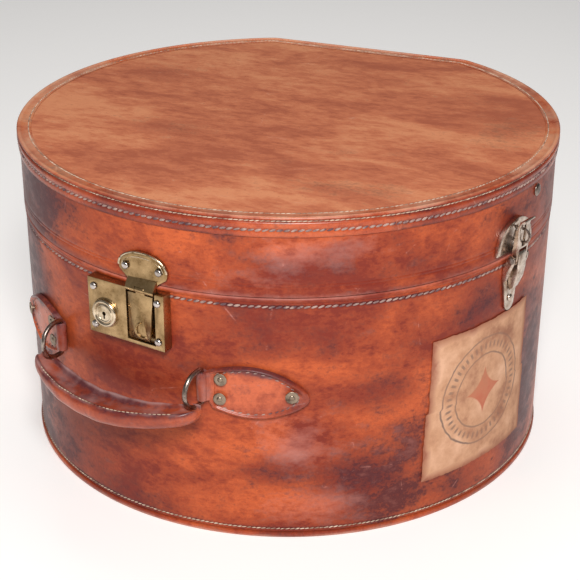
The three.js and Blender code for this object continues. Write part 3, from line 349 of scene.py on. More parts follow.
def bridle_leather(name, bright, middle, deep, dark, worn, gloss=0.4, streak=(1, 1, 1), spread=2.2,
                   glaze=0.14, level=0.3):
    """Vegetable-tanned hide, glazed and a century old: warm patches, dark mottling, pores, rubbed edges. On
    the sides its stain attribute also holds painted shade, and its pale worn tone also paints sheen.
    """
    made, tree, shader = new_material(name)
    place = add(tree, "TexCoord").outputs["Object"]
    stretched = add(tree, "Mapping", {"Vector": place, "Scale": streak}).outputs[0]
    patches = add(tree, "TexNoise", {"Vector": stretched, "Scale": 11.0, "Detail": 5.0, "Roughness": 0.55,
                                     "Distortion": 0.6}).outputs[0]
    mottle = add(tree, "TexNoise", {"Vector": stretched, "Scale": 62.0, "Detail": 8.0,
                                    "Roughness": 0.68}).outputs[0]
    fleck = add(tree, "TexNoise", {"Vector": place, "Scale": 420.0, "Detail": 4.0,
                                   "Roughness": 0.6}).outputs[0]
    # The stain attribute holds real stains and, on the sides and the grip, painted shade; the attribute read
    # next holds real rubbing and, on the sides, painted sheen.
    stain = add(tree, "Attribute", attribute_name="stain").outputs["Fac"]
    wear_and_sheen = add(tree, "Attribute", attribute_name="wear_and_sheen").outputs["Fac"]
    speckle = add(tree, "TexNoise", {"Vector": stretched, "Scale": 190.0, "Detail": 5.0,
                                     "Roughness": 0.7}).outputs[0]
    broad = calc(tree, "ADD", calc(tree, "MULTIPLY", patches, 0.5), calc(tree, "MULTIPLY", mottle, 0.28))
    warmth = calc(tree, "MULTIPLY_ADD", speckle, 0.22, broad)
    tones = [(0.42, deep), (0.5, middle), (0.575, bright)]
    ground = add(tree, "ValToRGB", {0: warmth}, stops=tones).outputs[0]
    cloud = calc(tree, "MULTIPLY_ADD", calc(tree, "SUBTRACT", mottle, 0.5), spread, stain)
    cloud = calc(tree, "MULTIPLY_ADD", calc(tree, "SUBTRACT", fleck, 0.5), 0.8, cloud)
    cloud = calc(tree, "MULTIPLY_ADD", calc(tree, "SUBTRACT", speckle, 0.5), 1.3, cloud)
    shade = add(tree, "MapRange", {0: cloud, 1: 0.16, 2: 0.95, 3: 0.0, 4: 0.88}).outputs[0]
    colour = mix(tree, shade, ground, dark)
    pores = add(tree, "MapRange", {0: fleck, 1: 0.36, 2: 0.28, 3: 0.0, 4: 0.4}).outputs[0]
    colour = mix(tree, pores, colour, dark)
    # The pale worn tone mixed in here is real rubbing, and on the sides painted sheen.
    wear_and_sheen_level = calc(tree, "MULTIPLY_ADD", calc(tree, "SUBTRACT", mottle, 0.52), 1.3, wear_and_sheen)
    rubbed = add(tree, "MapRange", {0: wear_and_sheen_level, 1: 0.15, 2: 1.15, 3: 0.0, 4: 0.85}).outputs[0]
    colour = mix(tree, rubbed, colour, worn)
    # scratches: thin lines along the edges of large warped cells, kept in a few places only
    warp = add(tree, "Mapping", {"Vector": place, "Rotation": (0.5, 0.9, 0.3),
                                 "Scale": (9.0, 31.0, 13.0)}).outputs[0]
    line = add(tree, "TexVoronoi", {"Vector": warp, "Scale": 1.0}, feature="DISTANCE_TO_EDGE").outputs[0]
    thin = add(tree, "MapRange", {0: line, 1: 0.008, 2: 0.002, 3: 0.0, 4: 1.0}).outputs[0]
    few = add(tree, "MapRange", {0: mottle, 1: 0.56, 2: 0.66, 3: 0.0, 4: 0.4}).outputs[0]
    colour = mix(tree, calc(tree, "MULTIPLY", thin, few), colour, worn)
    tree.links.new(colour, shader.inputs["Base Color"])
    dull = add(tree, "MapRange", {0: mottle, 1: 0.3, 2: 0.7, 3: gloss - 0.1, 4: gloss + 0.1}).outputs[0]
    tree.links.new(calc(tree, "MULTIPLY_ADD", rubbed, 0.25, dull), shader.inputs["Roughness"])
    shader.inputs["Coat Weight"].default_value = glaze
    shader.inputs["Coat Roughness"].default_value = 0.28
    shader.inputs["Specular IOR Level"].default_value = level
    grain = add(tree, "TexVoronoi", {"Vector": place, "Scale": 900.0}, feature="SMOOTH_F1").outputs[0]
    height = calc(tree, "MULTIPLY_ADD", grain, 0.35, calc(tree, "MULTIPLY_ADD", fleck, 0.6, mottle))
    bump = add(tree, "Bump", {"Height": height, "Strength": 0.35, "Distance": 0.35 * MM}).outputs[0]
    tree.links.new(bump, shader.inputs["Normal"])
    return made


def metal(name, bright, dull, tarnish, rough=0.3, patina=0.5, scale=120.0):
    """Old plated or solid metal, hand polished: bright on the high places, tarnished in clouds."""
    made, tree, shader = new_material(name)
    place = add(tree, "TexCoord").outputs["Object"]
    cloud = add(tree, "TexNoise", {"Vector": place, "Scale": scale, "Detail": 6.0,
                                   "Roughness": 0.62}).outputs[0]
    speck = add(tree, "TexNoise", {"Vector": place, "Scale": 900.0, "Detail": 3.0}).outputs[0]
    colour = add(tree, "ValToRGB", {0: cloud}, stops=[(0.34, dull), (0.62, bright)]).outputs[0]
    spots = calc(tree, "MULTIPLY_ADD", calc(tree, "SUBTRACT", speck, 0.5), 0.9, cloud)
    stained = add(tree, "MapRange", {0: spots, 1: 0.44, 2: 0.3, 3: 0.0, 4: patina}).outputs[0]
    tree.links.new(mix(tree, stained, colour, tarnish), shader.inputs["Base Color"])
    shader.inputs["Metallic"].default_value = 1.0
    worn = add(tree, "MapRange", {0: cloud, 1: 0.3, 2: 0.7, 3: rough + 0.16, 4: rough - 0.06}).outputs[0]
    tree.links.new(worn, shader.inputs["Roughness"])
    bump = add(tree, "Bump", {"Height": calc(tree, "MULTIPLY_ADD", speck, 0.3, cloud), "Strength": 0.2,
                              "Distance": 0.3 * MM}).outputs[0]
    tree.links.new(bump, shader.inputs["Normal"])
    return made


def linen_thread(name, light, dark):
    """Waxed linen thread gone grey: matt, with dirt between the plies."""
    made, tree, shader = new_material(name)
    place = add(tree, "TexCoord").outputs["Object"]
    dirt = add(tree, "TexNoise", {"Vector": place, "Scale": 150.0, "Detail": 4.0}).outputs[0]
    ply = add(tree, "TexNoise", {"Vector": place, "Scale": 1400.0, "Detail": 2.0}).outputs[0]
    colour = add(tree, "ValToRGB", {0: dirt}, stops=[(0.38, dark), (0.6, light)]).outputs[0]
    tree.links.new(colour, shader.inputs["Base Color"])
    shader.inputs["Roughness"].default_value = 0.75
    bump = add(tree, "Bump", {"Height": ply, "Strength": 0.4, "Distance": 0.2 * MM}).outputs[0]
    tree.links.new(bump, shader.inputs["Normal"])
    return made


def woven_lining(name, light, dark):
    """Plain-woven cotton pasted on board, yellowed: threads 0.9 mm apart, drawn coarse enough to show."""
    made, tree, shader = new_material(name)
    place = add(tree, "TexCoord").outputs["Object"]
    stain = add(tree, "TexNoise", {"Vector": place, "Scale": 14.0, "Detail": 5.0}).outputs[0]
    weft = add(tree, "TexWave", {"Vector": place, "Scale": 350.0}, bands_direction="Z").outputs[1]
    warp = add(tree, "TexWave", {"Vector": place, "Scale": 350.0}, bands_direction="DIAGONAL").outputs[1]
    weave = calc(tree, "MULTIPLY", weft, warp)
    ground = add(tree, "ValToRGB", {0: stain}, stops=[(0.35, dark), (0.6, light)]).outputs[0]
    tree.links.new(mix(tree, calc(tree, "MULTIPLY", weave, 0.3), ground, dark), shader.inputs["Base Color"])
    shader.inputs["Roughness"].default_value = 0.92
    shader.inputs["Sheen Weight"].default_value = 0.2
    bump = add(tree, "Bump", {"Height": weave, "Strength": 0.4, "Distance": 0.2 * MM}).outputs[0]
    tree.links.new(bump, shader.inputs["Normal"])
    return made


def old_paper(name):
    """Baggage label paper: browned, rubbed at its edges, with a faded ring of dashes and a plain star."""
    made, tree, shader = new_material(name)
    place = add(tree, "TexCoord").outputs["Object"]
    sheet = add(tree, "TexCoord").outputs["UV"]
    mottle = add(tree, "TexNoise", {"Vector": place, "Scale": 45.0, "Detail": 8.0,
                                    "Roughness": 0.65}).outputs[0]
    fibre = add(tree, "TexNoise", {"Vector": place, "Scale": 600.0, "Detail": 3.0}).outputs[0]
    browned = [(0.32, "#9a664c"), (0.5, "#c2906e"), (0.68, "#d8a888")]
    colour = add(tree, "ValToRGB", {0: mottle}, stops=browned).outputs[0]
    split = add(tree, "SeparateXYZ", {0: sheet})
    # millimetres from the middle of the printed ring
    across = calc(tree, "MULTIPLY_ADD", split.outputs[0], LABEL_WIDTH / MM, -53.0)
    up = calc(tree, "MULTIPLY_ADD", split.outputs[1], LABEL_HEIGHT / MM, -57.0)
    wander = calc(tree, "MULTIPLY", calc(tree, "SUBTRACT", mottle, 0.5), 3.0)
    square = calc(tree, "MULTIPLY_ADD", across, across, calc(tree, "MULTIPLY", up, up))
    distance = calc(tree, "ADD", calc(tree, "SQRT", square), wander)
    turn = calc(tree, "ARCTAN2", up, across)

    def band(radius, half):
        away = calc(tree, "ABSOLUTE", calc(tree, "SUBTRACT", distance, radius))
        return add(tree, "MapRange", {0: away, 1: half, 2: half * 0.4, 3: 0.0, 4: 1.0}).outputs[0]

    wave = calc(tree, "SINE", calc(tree, "MULTIPLY", turn, 44.0))
    dashes = add(tree, "MapRange", {0: wave, 1: 0.1, 2: 0.5, 3: 0.0, 4: 1.0}).outputs[0]
    beads = calc(tree, "MULTIPLY", band(35.0, 3.4), dashes)
    star = calc(tree, "ADD", calc(tree, "POWER", calc(tree, "ABSOLUTE", across), 0.62),
                calc(tree, "POWER", calc(tree, "ABSOLUTE", up), 0.62))
    point = add(tree, "MapRange", {0: star, 1: 6.6, 2: 6.1, 3: 0.0, 4: 1.0}).outputs[0]
    ink = calc(tree, "MAXIMUM", calc(tree, "MAXIMUM", band(41.5, 1.0), band(28.5, 0.9)), beads)
    faded = add(tree, "MapRange", {0: mottle, 1: 0.32, 2: 0.6, 3: 0.25, 4: 0.85}).outputs[0]
    colour = mix(tree, calc(tree, "MULTIPLY", ink, faded), colour, "#6f5a50")
    colour = mix(tree, calc(tree, "MULTIPLY", point, faded), colour, "#b4583c")
    edge_x = calc(tree, "ABSOLUTE", calc(tree, "SUBTRACT", split.outputs[0], 0.5))
    edge_y = calc(tree, "ABSOLUTE", calc(tree, "SUBTRACT", split.outputs[1], 0.5))
    edge = calc(tree, "MULTIPLY_ADD", calc(tree, "SUBTRACT", mottle, 0.5), 0.16,
                calc(tree, "MAXIMUM", edge_x, edge_y))
    rubbed = add(tree, "MapRange", {0: edge, 1: 0.455, 2: 0.51, 3: 0.0, 4: 0.85}).outputs[0]
    tree.links.new(mix(tree, rubbed, colour, "#8a4630"), shader.inputs["Base Color"])
    shader.inputs["Roughness"].default_value = 0.8
    bump = add(tree, "Bump", {"Height": calc(tree, "MULTIPLY_ADD", fibre, 0.4, mottle), "Strength": 0.3,
                              "Distance": 0.25 * MM}).outputs[0]
    tree.links.new(bump, shader.inputs["Normal"])
    return made


# Waxed bridle hide of the sides: red-brown with darker purple mottling, a low even shine; its pale pink worn
# tone also colours the painted sheen.
SIDE = bridle_leather("bridle_leather_glazed", "#c15a30", "#9d4325", "#78291b", "#401822", "#cf8677",
                      streak=(1, 1, 1.7), spread=2.8, glaze=0.07, level=0.18)
# The lid's top: paler and smoother, faded by light, its clouds drawn out across the hide.
LID_TOP = bridle_leather("lid_hide_glazed", "#d88a60", "#c6714c", "#ac5a3c", "#642f24", "#d9a48c",
                         gloss=0.36, streak=(0.8, 1.7, 1), spread=1.2)
# The flat of the folded edge on top: between the top and the band in colour, burnished by hands.
LID_RIM = bridle_leather("lid_rim_hide", "#cf7440", "#bb5c34", "#9a4426", "#552420", "#dba888", gloss=0.3)
# Thin binding hide folded over the edges: a sharper shine that shows its bends.
BINDING = bridle_leather("binding_leather", "#c86238", "#aa4a2a", "#84321f", "#43191f", "#d6a08a", gloss=0.3)
# The grip and its patches: handled until the ridges went grey-pink.
HANDLE = bridle_leather("handle_leather_worn", "#c4603c", "#a0472c", "#7a3022", "#48222b", "#ab8480",
                        gloss=0.34)
# Lock, hasp and hinges: yellow brass gone olive brown in clouds.
BRASS = metal("brass_antique", "#bb9c72", "#90744e", "#604b2c", rough=0.27, patina=0.35, scale=70.0)
# Brass rubbed by the key and the hand: pale, with sharp highlights.
PALE_BRASS = metal("brass_polished_pale", "#dccab0", "#b29c7c", "#6e5c3e", rough=0.2, patina=0.4)
# Nickel rivet domes: bright points.
NICKEL = metal("nickel_dome_polished", "#d8d0ca", "#a89c94", "#6a5c52", rough=0.2, patina=0.3)
# Bare steel of rings, studs and pins: grey brown, smooth where it rubs.
STEEL = metal("steel_wire_worn", "#a89a90", "#70625a", "#4a342a", rough=0.26)
# Clasp plating worn to the copper under it: silver with pinkish brown patches.
COPPERED = metal("nickel_worn_to_copper", "#d8c8ba", "#a39080", "#8f5f48", rough=0.24, patina=0.5)
# Washers in the patches: dull, with dirt in the dish.
WASHER = metal("nickel_washer_dull", "#9c8a78", "#78685a", "#54443a", rough=0.42, patina=0.8)
# Waxed thread, grey on the thick rows and paler on the fine ones.
THREAD = linen_thread("linen_thread_grey", "#a98b80", "#5c4044")
THREAD_PALE = linen_thread("linen_thread_pale", "#d2b9a2", "#8a6a58")
PAPER = old_paper("label_paper_browned")
# Leather-covered board of the collar inside the mouth: dark and nearly matt.
BOARD = bridle_leather("board_covered_brown", "#6a4632", "#573826", "#452c1e", "#2a1a12", "#8a6a54",
                       gloss=0.6)
COTTON = woven_lining("cotton_lining_yellowed", "#c9b184", "#a78d62")


# ---- Stains, worn places, painted shade and painted sheen on the hide ---------------------
# Azimuth in degrees, height in millimetres, half spread in degrees and millimetres, strength.
BODY_STAINS_AND_SHADE = [
    # The spots at azimuths 216, 223 and 229, and at 350, 354 and 356, are painted shade on the drum's left
    # and right edges as the camera sees them; the spot at azimuth 258 with a negative strength is painted
    # light, lifting the shade under the lock.
    (287, 160, 7, 22, 0.6), (299, 152, 4, 14, 0.8), (300, 50, 15, 28, 0.6), (318, 40, 12, 34, 0.75),
    (314, 116, 9, 20, 0.55), (286, 57, 7, 16, 0.35), (333, 155, 9, 24, 0.75), (229, 70, 10, 90, 0.85),
    (240, 20, 16, 22, 0.5), (305, 112, 6, 12, 0.3), (354, 60, 12, 80, 0.7), (330, 20, 20, 14, 0.6),
    (100, 80, 40, 50, 0.45), (30, 60, 22, 40, 0.5), (150, 120, 25, 40, 0.4), (200, 50, 20, 40, 0.45),
    (276, 128, 7, 10, 0.35), (268, 14, 14, 14, 0.35), (318, 80, 7, 20, 0.6), (216, 95, 10, 110, 0.7),
    (350, 60, 8, 50, 0.6), (258, 108, 9, 12, -0.4), (322, 108, 7, 14, 0.35), (309, 22, 9, 12, 0.45),
    (223, 120, 10, 110, 0.8), (356, 110, 8, 110, 0.6),
]
LID_STAINS_AND_SHADE = [
    # The spots at azimuths 218, 229 and 231, and at 355, are painted shade on the lid's left and right edges
    # as the camera sees them.
    (283, 224, 4, 7, 0.5), (292, 207, 9, 8, 0.75), (286, 214, 7, 5, 0.6), (301, 216, 5, 12, 0.6),
    (279, 228, 3, 8, 0.5), (312, 226, 3, 5, 0.5), (340, 215, 9, 26, 0.5), (229, 215, 12, 40, 0.9),
    (355, 215, 12, 40, 0.8), (313, 205, 5, 8, 0.3), (218, 215, 12, 40, 0.7), (246, 222, 6, 14, 0.35),
    (231, 215, 9, 40, 0.6),
    (60, 215, 30, 24, 0.5), (150, 210, 30, 24, 0.45), (200, 220, 20, 20, 0.4),
]
# X and Y on the lid's top in millimetres, half spreads, strength.
TOP_STAINS = [
    (161, 24, 26, 40, 0.6), (80, -126, 30, 12, 0.5), (112, -118, 22, 14, 0.45), (64, -61, 12, 8, 0.35),
    (99, -46, 6, 8, 0.5), (-52, -63, 20, 16, 0.45), (-89, -55, 22, 14, 0.3), (53, 108, 12, 10, 0.3),
    (101, 87, 18, 8, 0.3), (35, -94, 9, 6, 0.45), (130, 90, 20, 22, 0.35), (-130, 60, 26, 26, 0.3),
]


def side_spots(stains):
    """The amount at a place on the side, from soft spots and a slow unevenness; it serves for stains, for
    painted shade and for painted sheen.
    """
    def amount(place):
        azimuth = math.degrees(math.atan2(place.y, place.x)) % 360
        height = place.z / MM
        total = 0.0
        for a, h, spread_a, spread_h, strength in stains:
            turn = (azimuth - a + 180) % 360 - 180
            away = (turn / spread_a) ** 2 + ((height - h) / spread_h) ** 2
            total += strength * math.exp(-away)
        return total * (0.75 + 0.5 * noise.noise(place * 30)) + 0.12 * noise.noise(place * 9)
    return amount


def dirty_rows(stain, *heights):
    """An amount from soft spots (stains, and on the sides painted shade), with dirt lodged along rows of
    stitches and joints added.
    """
    def amount(place):
        near = max(math.exp(-((place.z - h) / (1.7 * MM)) ** 2) for h in heights)
        return stain(place) + near * (0.55 + 0.5 * noise.noise(place * 26))
    return amount


def top_stain(place):
    """The darkness at a place on the lid's top."""
    total = 0.0
    for x, y, spread_x, spread_y, strength in TOP_STAINS:
        away = ((place.x / MM - x) / spread_x) ** 2 + ((place.y / MM - y) / spread_y) ** 2
        total += strength * math.exp(-away)
    return total * (0.75 + 0.5 * noise.noise(place * 30))


# Azimuth, height, half spreads and strength of the painted sheen: soft pink patches where the glaze would
# reflect pale light.
BODY_PAINTED_SHEEN = [(294, 76, 8, 20, 0.75), (296, 26, 11, 13, 0.8), (286, 106, 8, 14, 0.35), (316, 70, 8, 30, 0.25)]
LID_PAINTED_SHEEN = [(293, 216, 9, 12, 0.6), (303, 222, 8, 12, 0.4), (286, 200, 8, 8, 0.35)]


def edge_wear_and_sheen(sheen_spots, *heights):
    """Pale rubbing close to the given heights, and patches of painted sheen."""
    painted_sheen = side_spots(sheen_spots)

    def amount(place):
        near = max(math.exp(-((place.z - h) / (1.3 * MM)) ** 2) for h in heights)
        return near * (0.55 + 0.6 * noise.noise(place * 22)) + painted_sheen(place)
    return amount


# ---- The drum and its lid -----------------------------------------------------------------
def rows(low, high, step):
    """Heights from low to high, about a step apart."""
    count = max(1, round((high - low) / step))
    return [low + (high - low) * i / count for i in range(count + 1)]


def groove(offset, z, half, depth):
    """Profile points across a shallow groove in a wall."""
    return [(offset, z - half), (offset - depth * 0.7, z - half * 0.5), (offset - depth, z),
            (offset - depth * 0.7, z + half * 0.5), (offset, z + half)]


ROW_BASE = BODY_LOW + 2.6 * MM
ROW_MOUTH = MOUTH - 6.5 * MM
ROW_BAND = HEIGHT - 9.2 * MM
ROW_CORNER = HEIGHT - 2.9 * MM
ROW_TOP_INSET = 6.4 * MM
WAVE = 0.5 * MM


def body_side():
    """The side's hide: grooves under both rows of stitches and a rolled lip at the mouth."""
    profile = [(-0.5 * MM, BODY_LOW), (-0.1 * MM, BODY_LOW + 0.4 * MM)]
    profile += groove(0, ROW_BASE, 1.1 * MM, 0.5 * MM)
    profile += [(0, z) for z in rows(ROW_BASE + 2.5 * MM, ROW_MOUTH - 2.5 * MM, 4 * MM)]
    profile += groove(0, ROW_MOUTH, 1.2 * MM, 0.5 * MM)
    profile += [(0, ROW_MOUTH + 2.2 * MM), (-0.15 * MM, MOUTH - 3.9 * MM), (0.35 * MM, MOUTH - 3.1 * MM),
                (0.65 * MM, MOUTH - 2.2 * MM), (0.65 * MM, MOUTH - 1.5 * MM), (0.4 * MM, MOUTH - 0.7 * MM),
                (-0.1 * MM, MOUTH - 0.2 * MM), (-0.8 * MM, MOUTH), (-2.4 * MM, MOUTH),
                (-LEATHER, MOUTH - 0.6 * MM), (-LEATHER, MOUTH - 30 * MM), (-LEATHER, BODY_LOW + 20 * MM),
                (-LEATHER, BODY_LOW)]
    loops = [plan_loop(o, z, WAVE if o > -1 * MM else 0) for o, z in profile]
    piece = loft("hide_body_side", loops, ring=True)
    # Stain: real stains and dirt in the rows and the joint, painted shade on the drum's left and right edges,
    # and painted light under the lock.
    paint(piece, "stain", dirty_rows(side_spots(BODY_STAINS_AND_SHADE), ROW_BASE, ROW_MOUTH, MOUTH + 1 * MM))
    # Pale rubbing at the mouth, and soft pink patches of painted sheen.
    paint(piece, "wear_and_sheen", edge_wear_and_sheen(BODY_PAINTED_SHEEN, MOUTH - 0.4 * MM))
    finished(piece, "box", "side_leather", SIDE, "body_side")


def lid_side():
    """The lid's hide: a rounded lower edge and two creased lines above it."""
    out = LID_PROUD
    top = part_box("lid_side")[1].z
    crease = LID_LOW + 7.5 * MM
    profile = [(out - 0.7 * MM, LID_LOW), (out - 0.15 * MM, LID_LOW + 0.3 * MM), (out, LID_LOW + 0.9 * MM),
               (out, LID_LOW + 4 * MM)]
    profile += groove(out, crease, 0.6 * MM, 0.22 * MM)
    profile += groove(out, crease + 2.2 * MM, 0.6 * MM, 0.22 * MM)
    profile += [(out, z) for z in rows(crease + 5 * MM, top - 10 * MM, 4 * MM)]
    inner = out - LEATHER
    profile += [(out, top), (inner, top), (inner, LID_LOW + 20 * MM), (inner, LID_LOW + 0.5 * MM),
                (inner + 0.6 * MM, LID_LOW)]
    loops = [plan_loop(o, z, WAVE * 0.6 if o > 0 else 0) for o, z in profile]
    piece = loft("hide_lid_side", loops, ring=True)
    # Stain: real stains and dirt at the joint, and painted shade on the lid's left and right edges.
    paint(piece, "stain", dirty_rows(side_spots(LID_STAINS_AND_SHADE), LID_LOW))
    # Pale rubbing at the lower edge, and soft pink patches of painted sheen.
    paint(piece, "wear_and_sheen", edge_wear_and_sheen(LID_PAINTED_SHEEN, LID_LOW))
    finished(piece, "lid", "side_leather", SIDE, "lid_side")


def disc(name, offset, low, high, bow=0.0):
    """A flat hide cut to the plan: loops in to the middle on top, and back out underneath."""
    edge = 0.5 * MM
    shares = [1 - 0.055 * i for i in range(18)]

    def loop(reach, share, z):
        return [(x * share, y * share, z + bow * noise.noise(Vector((x * share, y * share, 0)) * 9)
                 * min(1, (1 - share) * 5)) for x, y, _ in plan_loop(reach, z)]

    loops = [loop(offset, share, low) for share in reversed(shares)]
    loops += [loop(offset, 1, low + edge), loop(offset, 1, high - edge)]
    loops += [loop(offset - edge * 0.6, share, high) for share in shares]
    return loft(name, loops)


def lid_top():
    """The lid's flat top, a little bowed by age."""
    low, high = (corner.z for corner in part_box("lid_top"))
    piece = disc("hide_lid_top", LID_PROUD, low, high, bow=-0.5 * MM)
    paint(piece, "stain", top_stain)
    paint(piece, "wear_and_sheen", lambda place: 0.0)
    finished(piece, "lid", "lid_leather", LID_TOP, "lid_top")


def base_panel():
    """The bottom, with its edge turned out under the side."""
    low, high = (corner.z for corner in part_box("base_panel"))
    profile = [(-2 * MM, low), (-0.6 * MM, low), (0.3 * MM, low + 0.5 * MM), (0.8 * MM, low + 1.5 * MM),
               (0.8 * MM, high - 1.3 * MM), (0.4 * MM, high - 0.4 * MM), (-0.6 * MM, high)]
    loops = [plan_loop(o, z) for o, z in profile]
    inner = [shrunk(loops[0], share) for share in (0.3, 0.6, 0.85)]
    outer = [shrunk(loops[-1], share) for share in (0.8, 0.4)]
    piece = loft("hide_base", inner + loops + outer)
    paint(piece, "stain", side_spots([(az, 2, 18, 6, 0.6) for az in range(20, 360, 45)]))
    paint(piece, "wear_and_sheen", edge_wear_and_sheen([], low + 1 * MM))
    finished(piece, "box", "side_leather", BINDING, "base_panel")


def lid_binding():
    """A strip folded over the lid's edge: a band down the side, a groove at the corner, a bead on top."""
    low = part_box("lid_binding")[0].z
    back = 1.1 * MM
    front = 2.3 * MM
    inset = -8.5 * MM
    top = HEIGHT
    corner = ROW_CORNER
    profile = [(back, low), (back + 0.5 * MM, low), (front - 0.7 * MM, low + 0.5 * MM),
               (front - 0.55 * MM, low + 1.4 * MM)]
    profile += groove(front - 0.5 * MM, ROW_BAND, 1.4 * MM, 0.45 * MM)
    profile += [(front - 0.35 * MM, ROW_BAND + 1.8 * MM), (front, ROW_BAND + 2.8 * MM),
                (front + 0.1 * MM, ROW_BAND + 4.0 * MM), (front - 0.1 * MM, corner - 1.5 * MM),
                (front - 0.5 * MM, corner - 0.9 * MM), (front - 1.0 * MM, corner - 0.5 * MM),
                (front - 1.1 * MM, corner), (front - 1.0 * MM, corner + 0.45 * MM),
                (front - 0.5 * MM, corner + 0.8 * MM), (front - 0.05 * MM, corner + 1.4 * MM),
                (front - 0.1 * MM, top - 0.9 * MM), (front - 0.6 * MM, top - 0.3 * MM),
                (front - 1.5 * MM, top),
                (front - 2.5 * MM, top - 0.15 * MM), (front - 3.2 * MM, top - 0.6 * MM),
                (front - 3.7 * MM, top - 0.85 * MM), (-ROW_TOP_INSET + 1.5 * MM, top - 0.6 * MM),
                (-ROW_TOP_INSET + 0.8 * MM, top - 0.65 * MM), (-ROW_TOP_INSET, top - 0.95 * MM),
                (-ROW_TOP_INSET - 0.7 * MM, top - 0.75 * MM), (inset + 0.6 * MM, top - 0.9 * MM),
                (inset, top - 1.15 * MM), (inset, top - 1.2 * MM), (-3 * MM, top - 1.2 * MM),
                (back, top - 1.2 * MM), (back, low + 6 * MM)]
    piece = loft("hide_lid_binding", [plan_loop(o, z) for o, z in profile], ring=True)
    stain = side_spots([(az, 238, 16, 9, 0.4) for az in (30, 80, 140, 190, 236, 345)])
    paint(piece, "stain", dirty_rows(stain, ROW_BAND, ROW_CORNER, low))
    paint(piece, "wear_and_sheen", edge_wear_and_sheen([], HEIGHT))
    finished(piece, "lid", "side_leather", BINDING, "lid_binding")
    piece.data.materials.append(LID_RIM)
    for face_of in piece.data.polygons:
        flat = face_of.normal.z > 0.8 and face_of.center.z > top - 1.3 * MM
        face_of.material_index = 1 if flat else 0


def inner_wall(name, node, inset, thickness, material, slot, body):
    """A wall that follows the plan inside the hide, its upper edges eased."""
    low, high = (corner.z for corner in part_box(node))
    profile = [(-inset, low), (-inset, high - 0.4 * MM), (-inset - 0.4 * MM, high),
               (-inset - thickness + 0.4 * MM, high), (-inset - thickness, high - 0.4 * MM),
               (-inset - thickness, low)]
    piece = loft(name, [plan_loop(o, z) for o, z in profile], ring=True)
    finished(piece, body, slot, material, node)


def tray(name, node, inset, up, material, slot, body):
    """A pasted lining: a wall and a floor (or a roof), one millimetre thick."""
    low, high = (corner.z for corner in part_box(node))
    if not up:
        low, high = high, low
    thin = 1 * MM if up else -1 * MM
    bend = 3 * MM if up else -3 * MM
    profile = [(-inset - 0.6 * MM, low), (-inset, low + thin * 0.6), (-inset, high),
               (-inset - 1 * MM, high), (-inset - 1 * MM, low + bend), (-inset - 1.8 * MM, low + thin * 1.6),
               (-inset - 3.5 * MM, low + thin)]
    loops = [plan_loop(o, z) for o, z in profile]
    inner = [shrunk(loops[0], share) for share in (0.3, 0.65)]
    outer = [shrunk(loops[-1], share) for share in (0.75, 0.5, 0.2)]
    piece = loft(name, inner + loops + outer)
    finished(piece, body, slot, material, node)


# ---- Stitching ----------------------------------------------------------------------------
def stitch_model(length, width, height):
    """One stitch lying along X: a six-sided bead pressed flat."""
    deselect()
    bpy.ops.mesh.primitive_uv_sphere_add(segments=6, ring_count=5, radius=0.5)
    model = bpy.context.object
    bpy.ops.object.mode_set(mode="EDIT")
    bpy.ops.mesh.select_all(action="SELECT")
    bpy.ops.transform.rotate(value=math.pi / 2, orient_axis="Y", center_override=(0, 0, 0))
    bpy.ops.transform.resize(value=(length, width, height), center_override=(0, 0, 0))
    bpy.ops.object.mode_set(mode="OBJECT")
    return model


def plan_walk(offset, pitch):
    """Evenly spaced places round the plan at an offset: point, normal, tangent."""
    points = [spot + normal * offset for spot, normal in PLAN]
    normals = [normal for _, normal in PLAN]
    lengths = [(points[(i + 1) % len(points)] - points[i]).length for i in range(len(points))]
    total = sum(lengths)
    count = round(total / pitch)
    walk = []
    i, gone = 0, 0.0
    for k in range(count):
        want = total * k / count
        while gone + lengths[i] < want:
            gone += lengths[i]
            i += 1
        share = (want - gone) / lengths[i]
        j = (i + 1) % len(points)
        place = points[i].lerp(points[j], share)
        normal = normals[i].lerp(normals[j], share).normalized()
        walk.append((place, normal, Vector((-normal.y, normal.x))))
    return walk


def stitch_row(name, body, offset, z, pitch, width, slant, thread, up=False):
    """A row of stitches round the box, on the side wall or (up) on the lid's top."""
    chance = random.Random(name)
    model = stitch_model(pitch * 1.02, width, width * 0.8)
    frames = []
    for place, normal, along in plan_walk(offset, pitch):
        out = Vector((0, 0, 1)) if up else Vector((normal.x, normal.y, 0))
        run = Vector((along.x, along.y, 0))
        across = out.cross(run)
        basis = Matrix((run, across, out)).transposed().to_4x4()
        tilt = Matrix.Rotation(math.radians(slant + chance.uniform(-5, 5)), 4, "Z")
        seat = Vector((place.x, place.y, z)) + out * chance.uniform(-0.06, 0.06) * MM
        size = Matrix.Diagonal((1, chance.uniform(0.85, 1.1), chance.uniform(0.85, 1.1), 1))
        frames.append(Matrix.Translation(seat) @ basis @ tilt @ size)
    piece = copies(name, model, frames)
    bpy.data.objects.remove(model)
    finished(piece, body, "side_leather", thread)


def stitching():
    """Each row: its body, its offset out and height, its pitch, thickness and slant, and its thread."""
    stitch_row("stitches_base", "box", -0.35 * MM, ROW_BASE, 3.4 * MM, 1.0 * MM, 12, THREAD_PALE)
    stitch_row("stitches_mouth", "box", -0.35 * MM, ROW_MOUTH, 4.6 * MM, 1.7 * MM, 18, THREAD)
    stitch_row("stitches_band", "lid", 1.55 * MM, ROW_BAND, 4.6 * MM, 1.8 * MM, 18, THREAD)
    stitch_row("stitches_corner", "lid", 1.3 * MM, ROW_CORNER, 3.4 * MM, 0.8 * MM, 8, THREAD_PALE)
    stitch_row("stitches_top", "lid", -ROW_TOP_INSET, HEIGHT - 0.8 * MM, 3.4 * MM, 0.95 * MM, 10,
               THREAD_PALE, up=True)


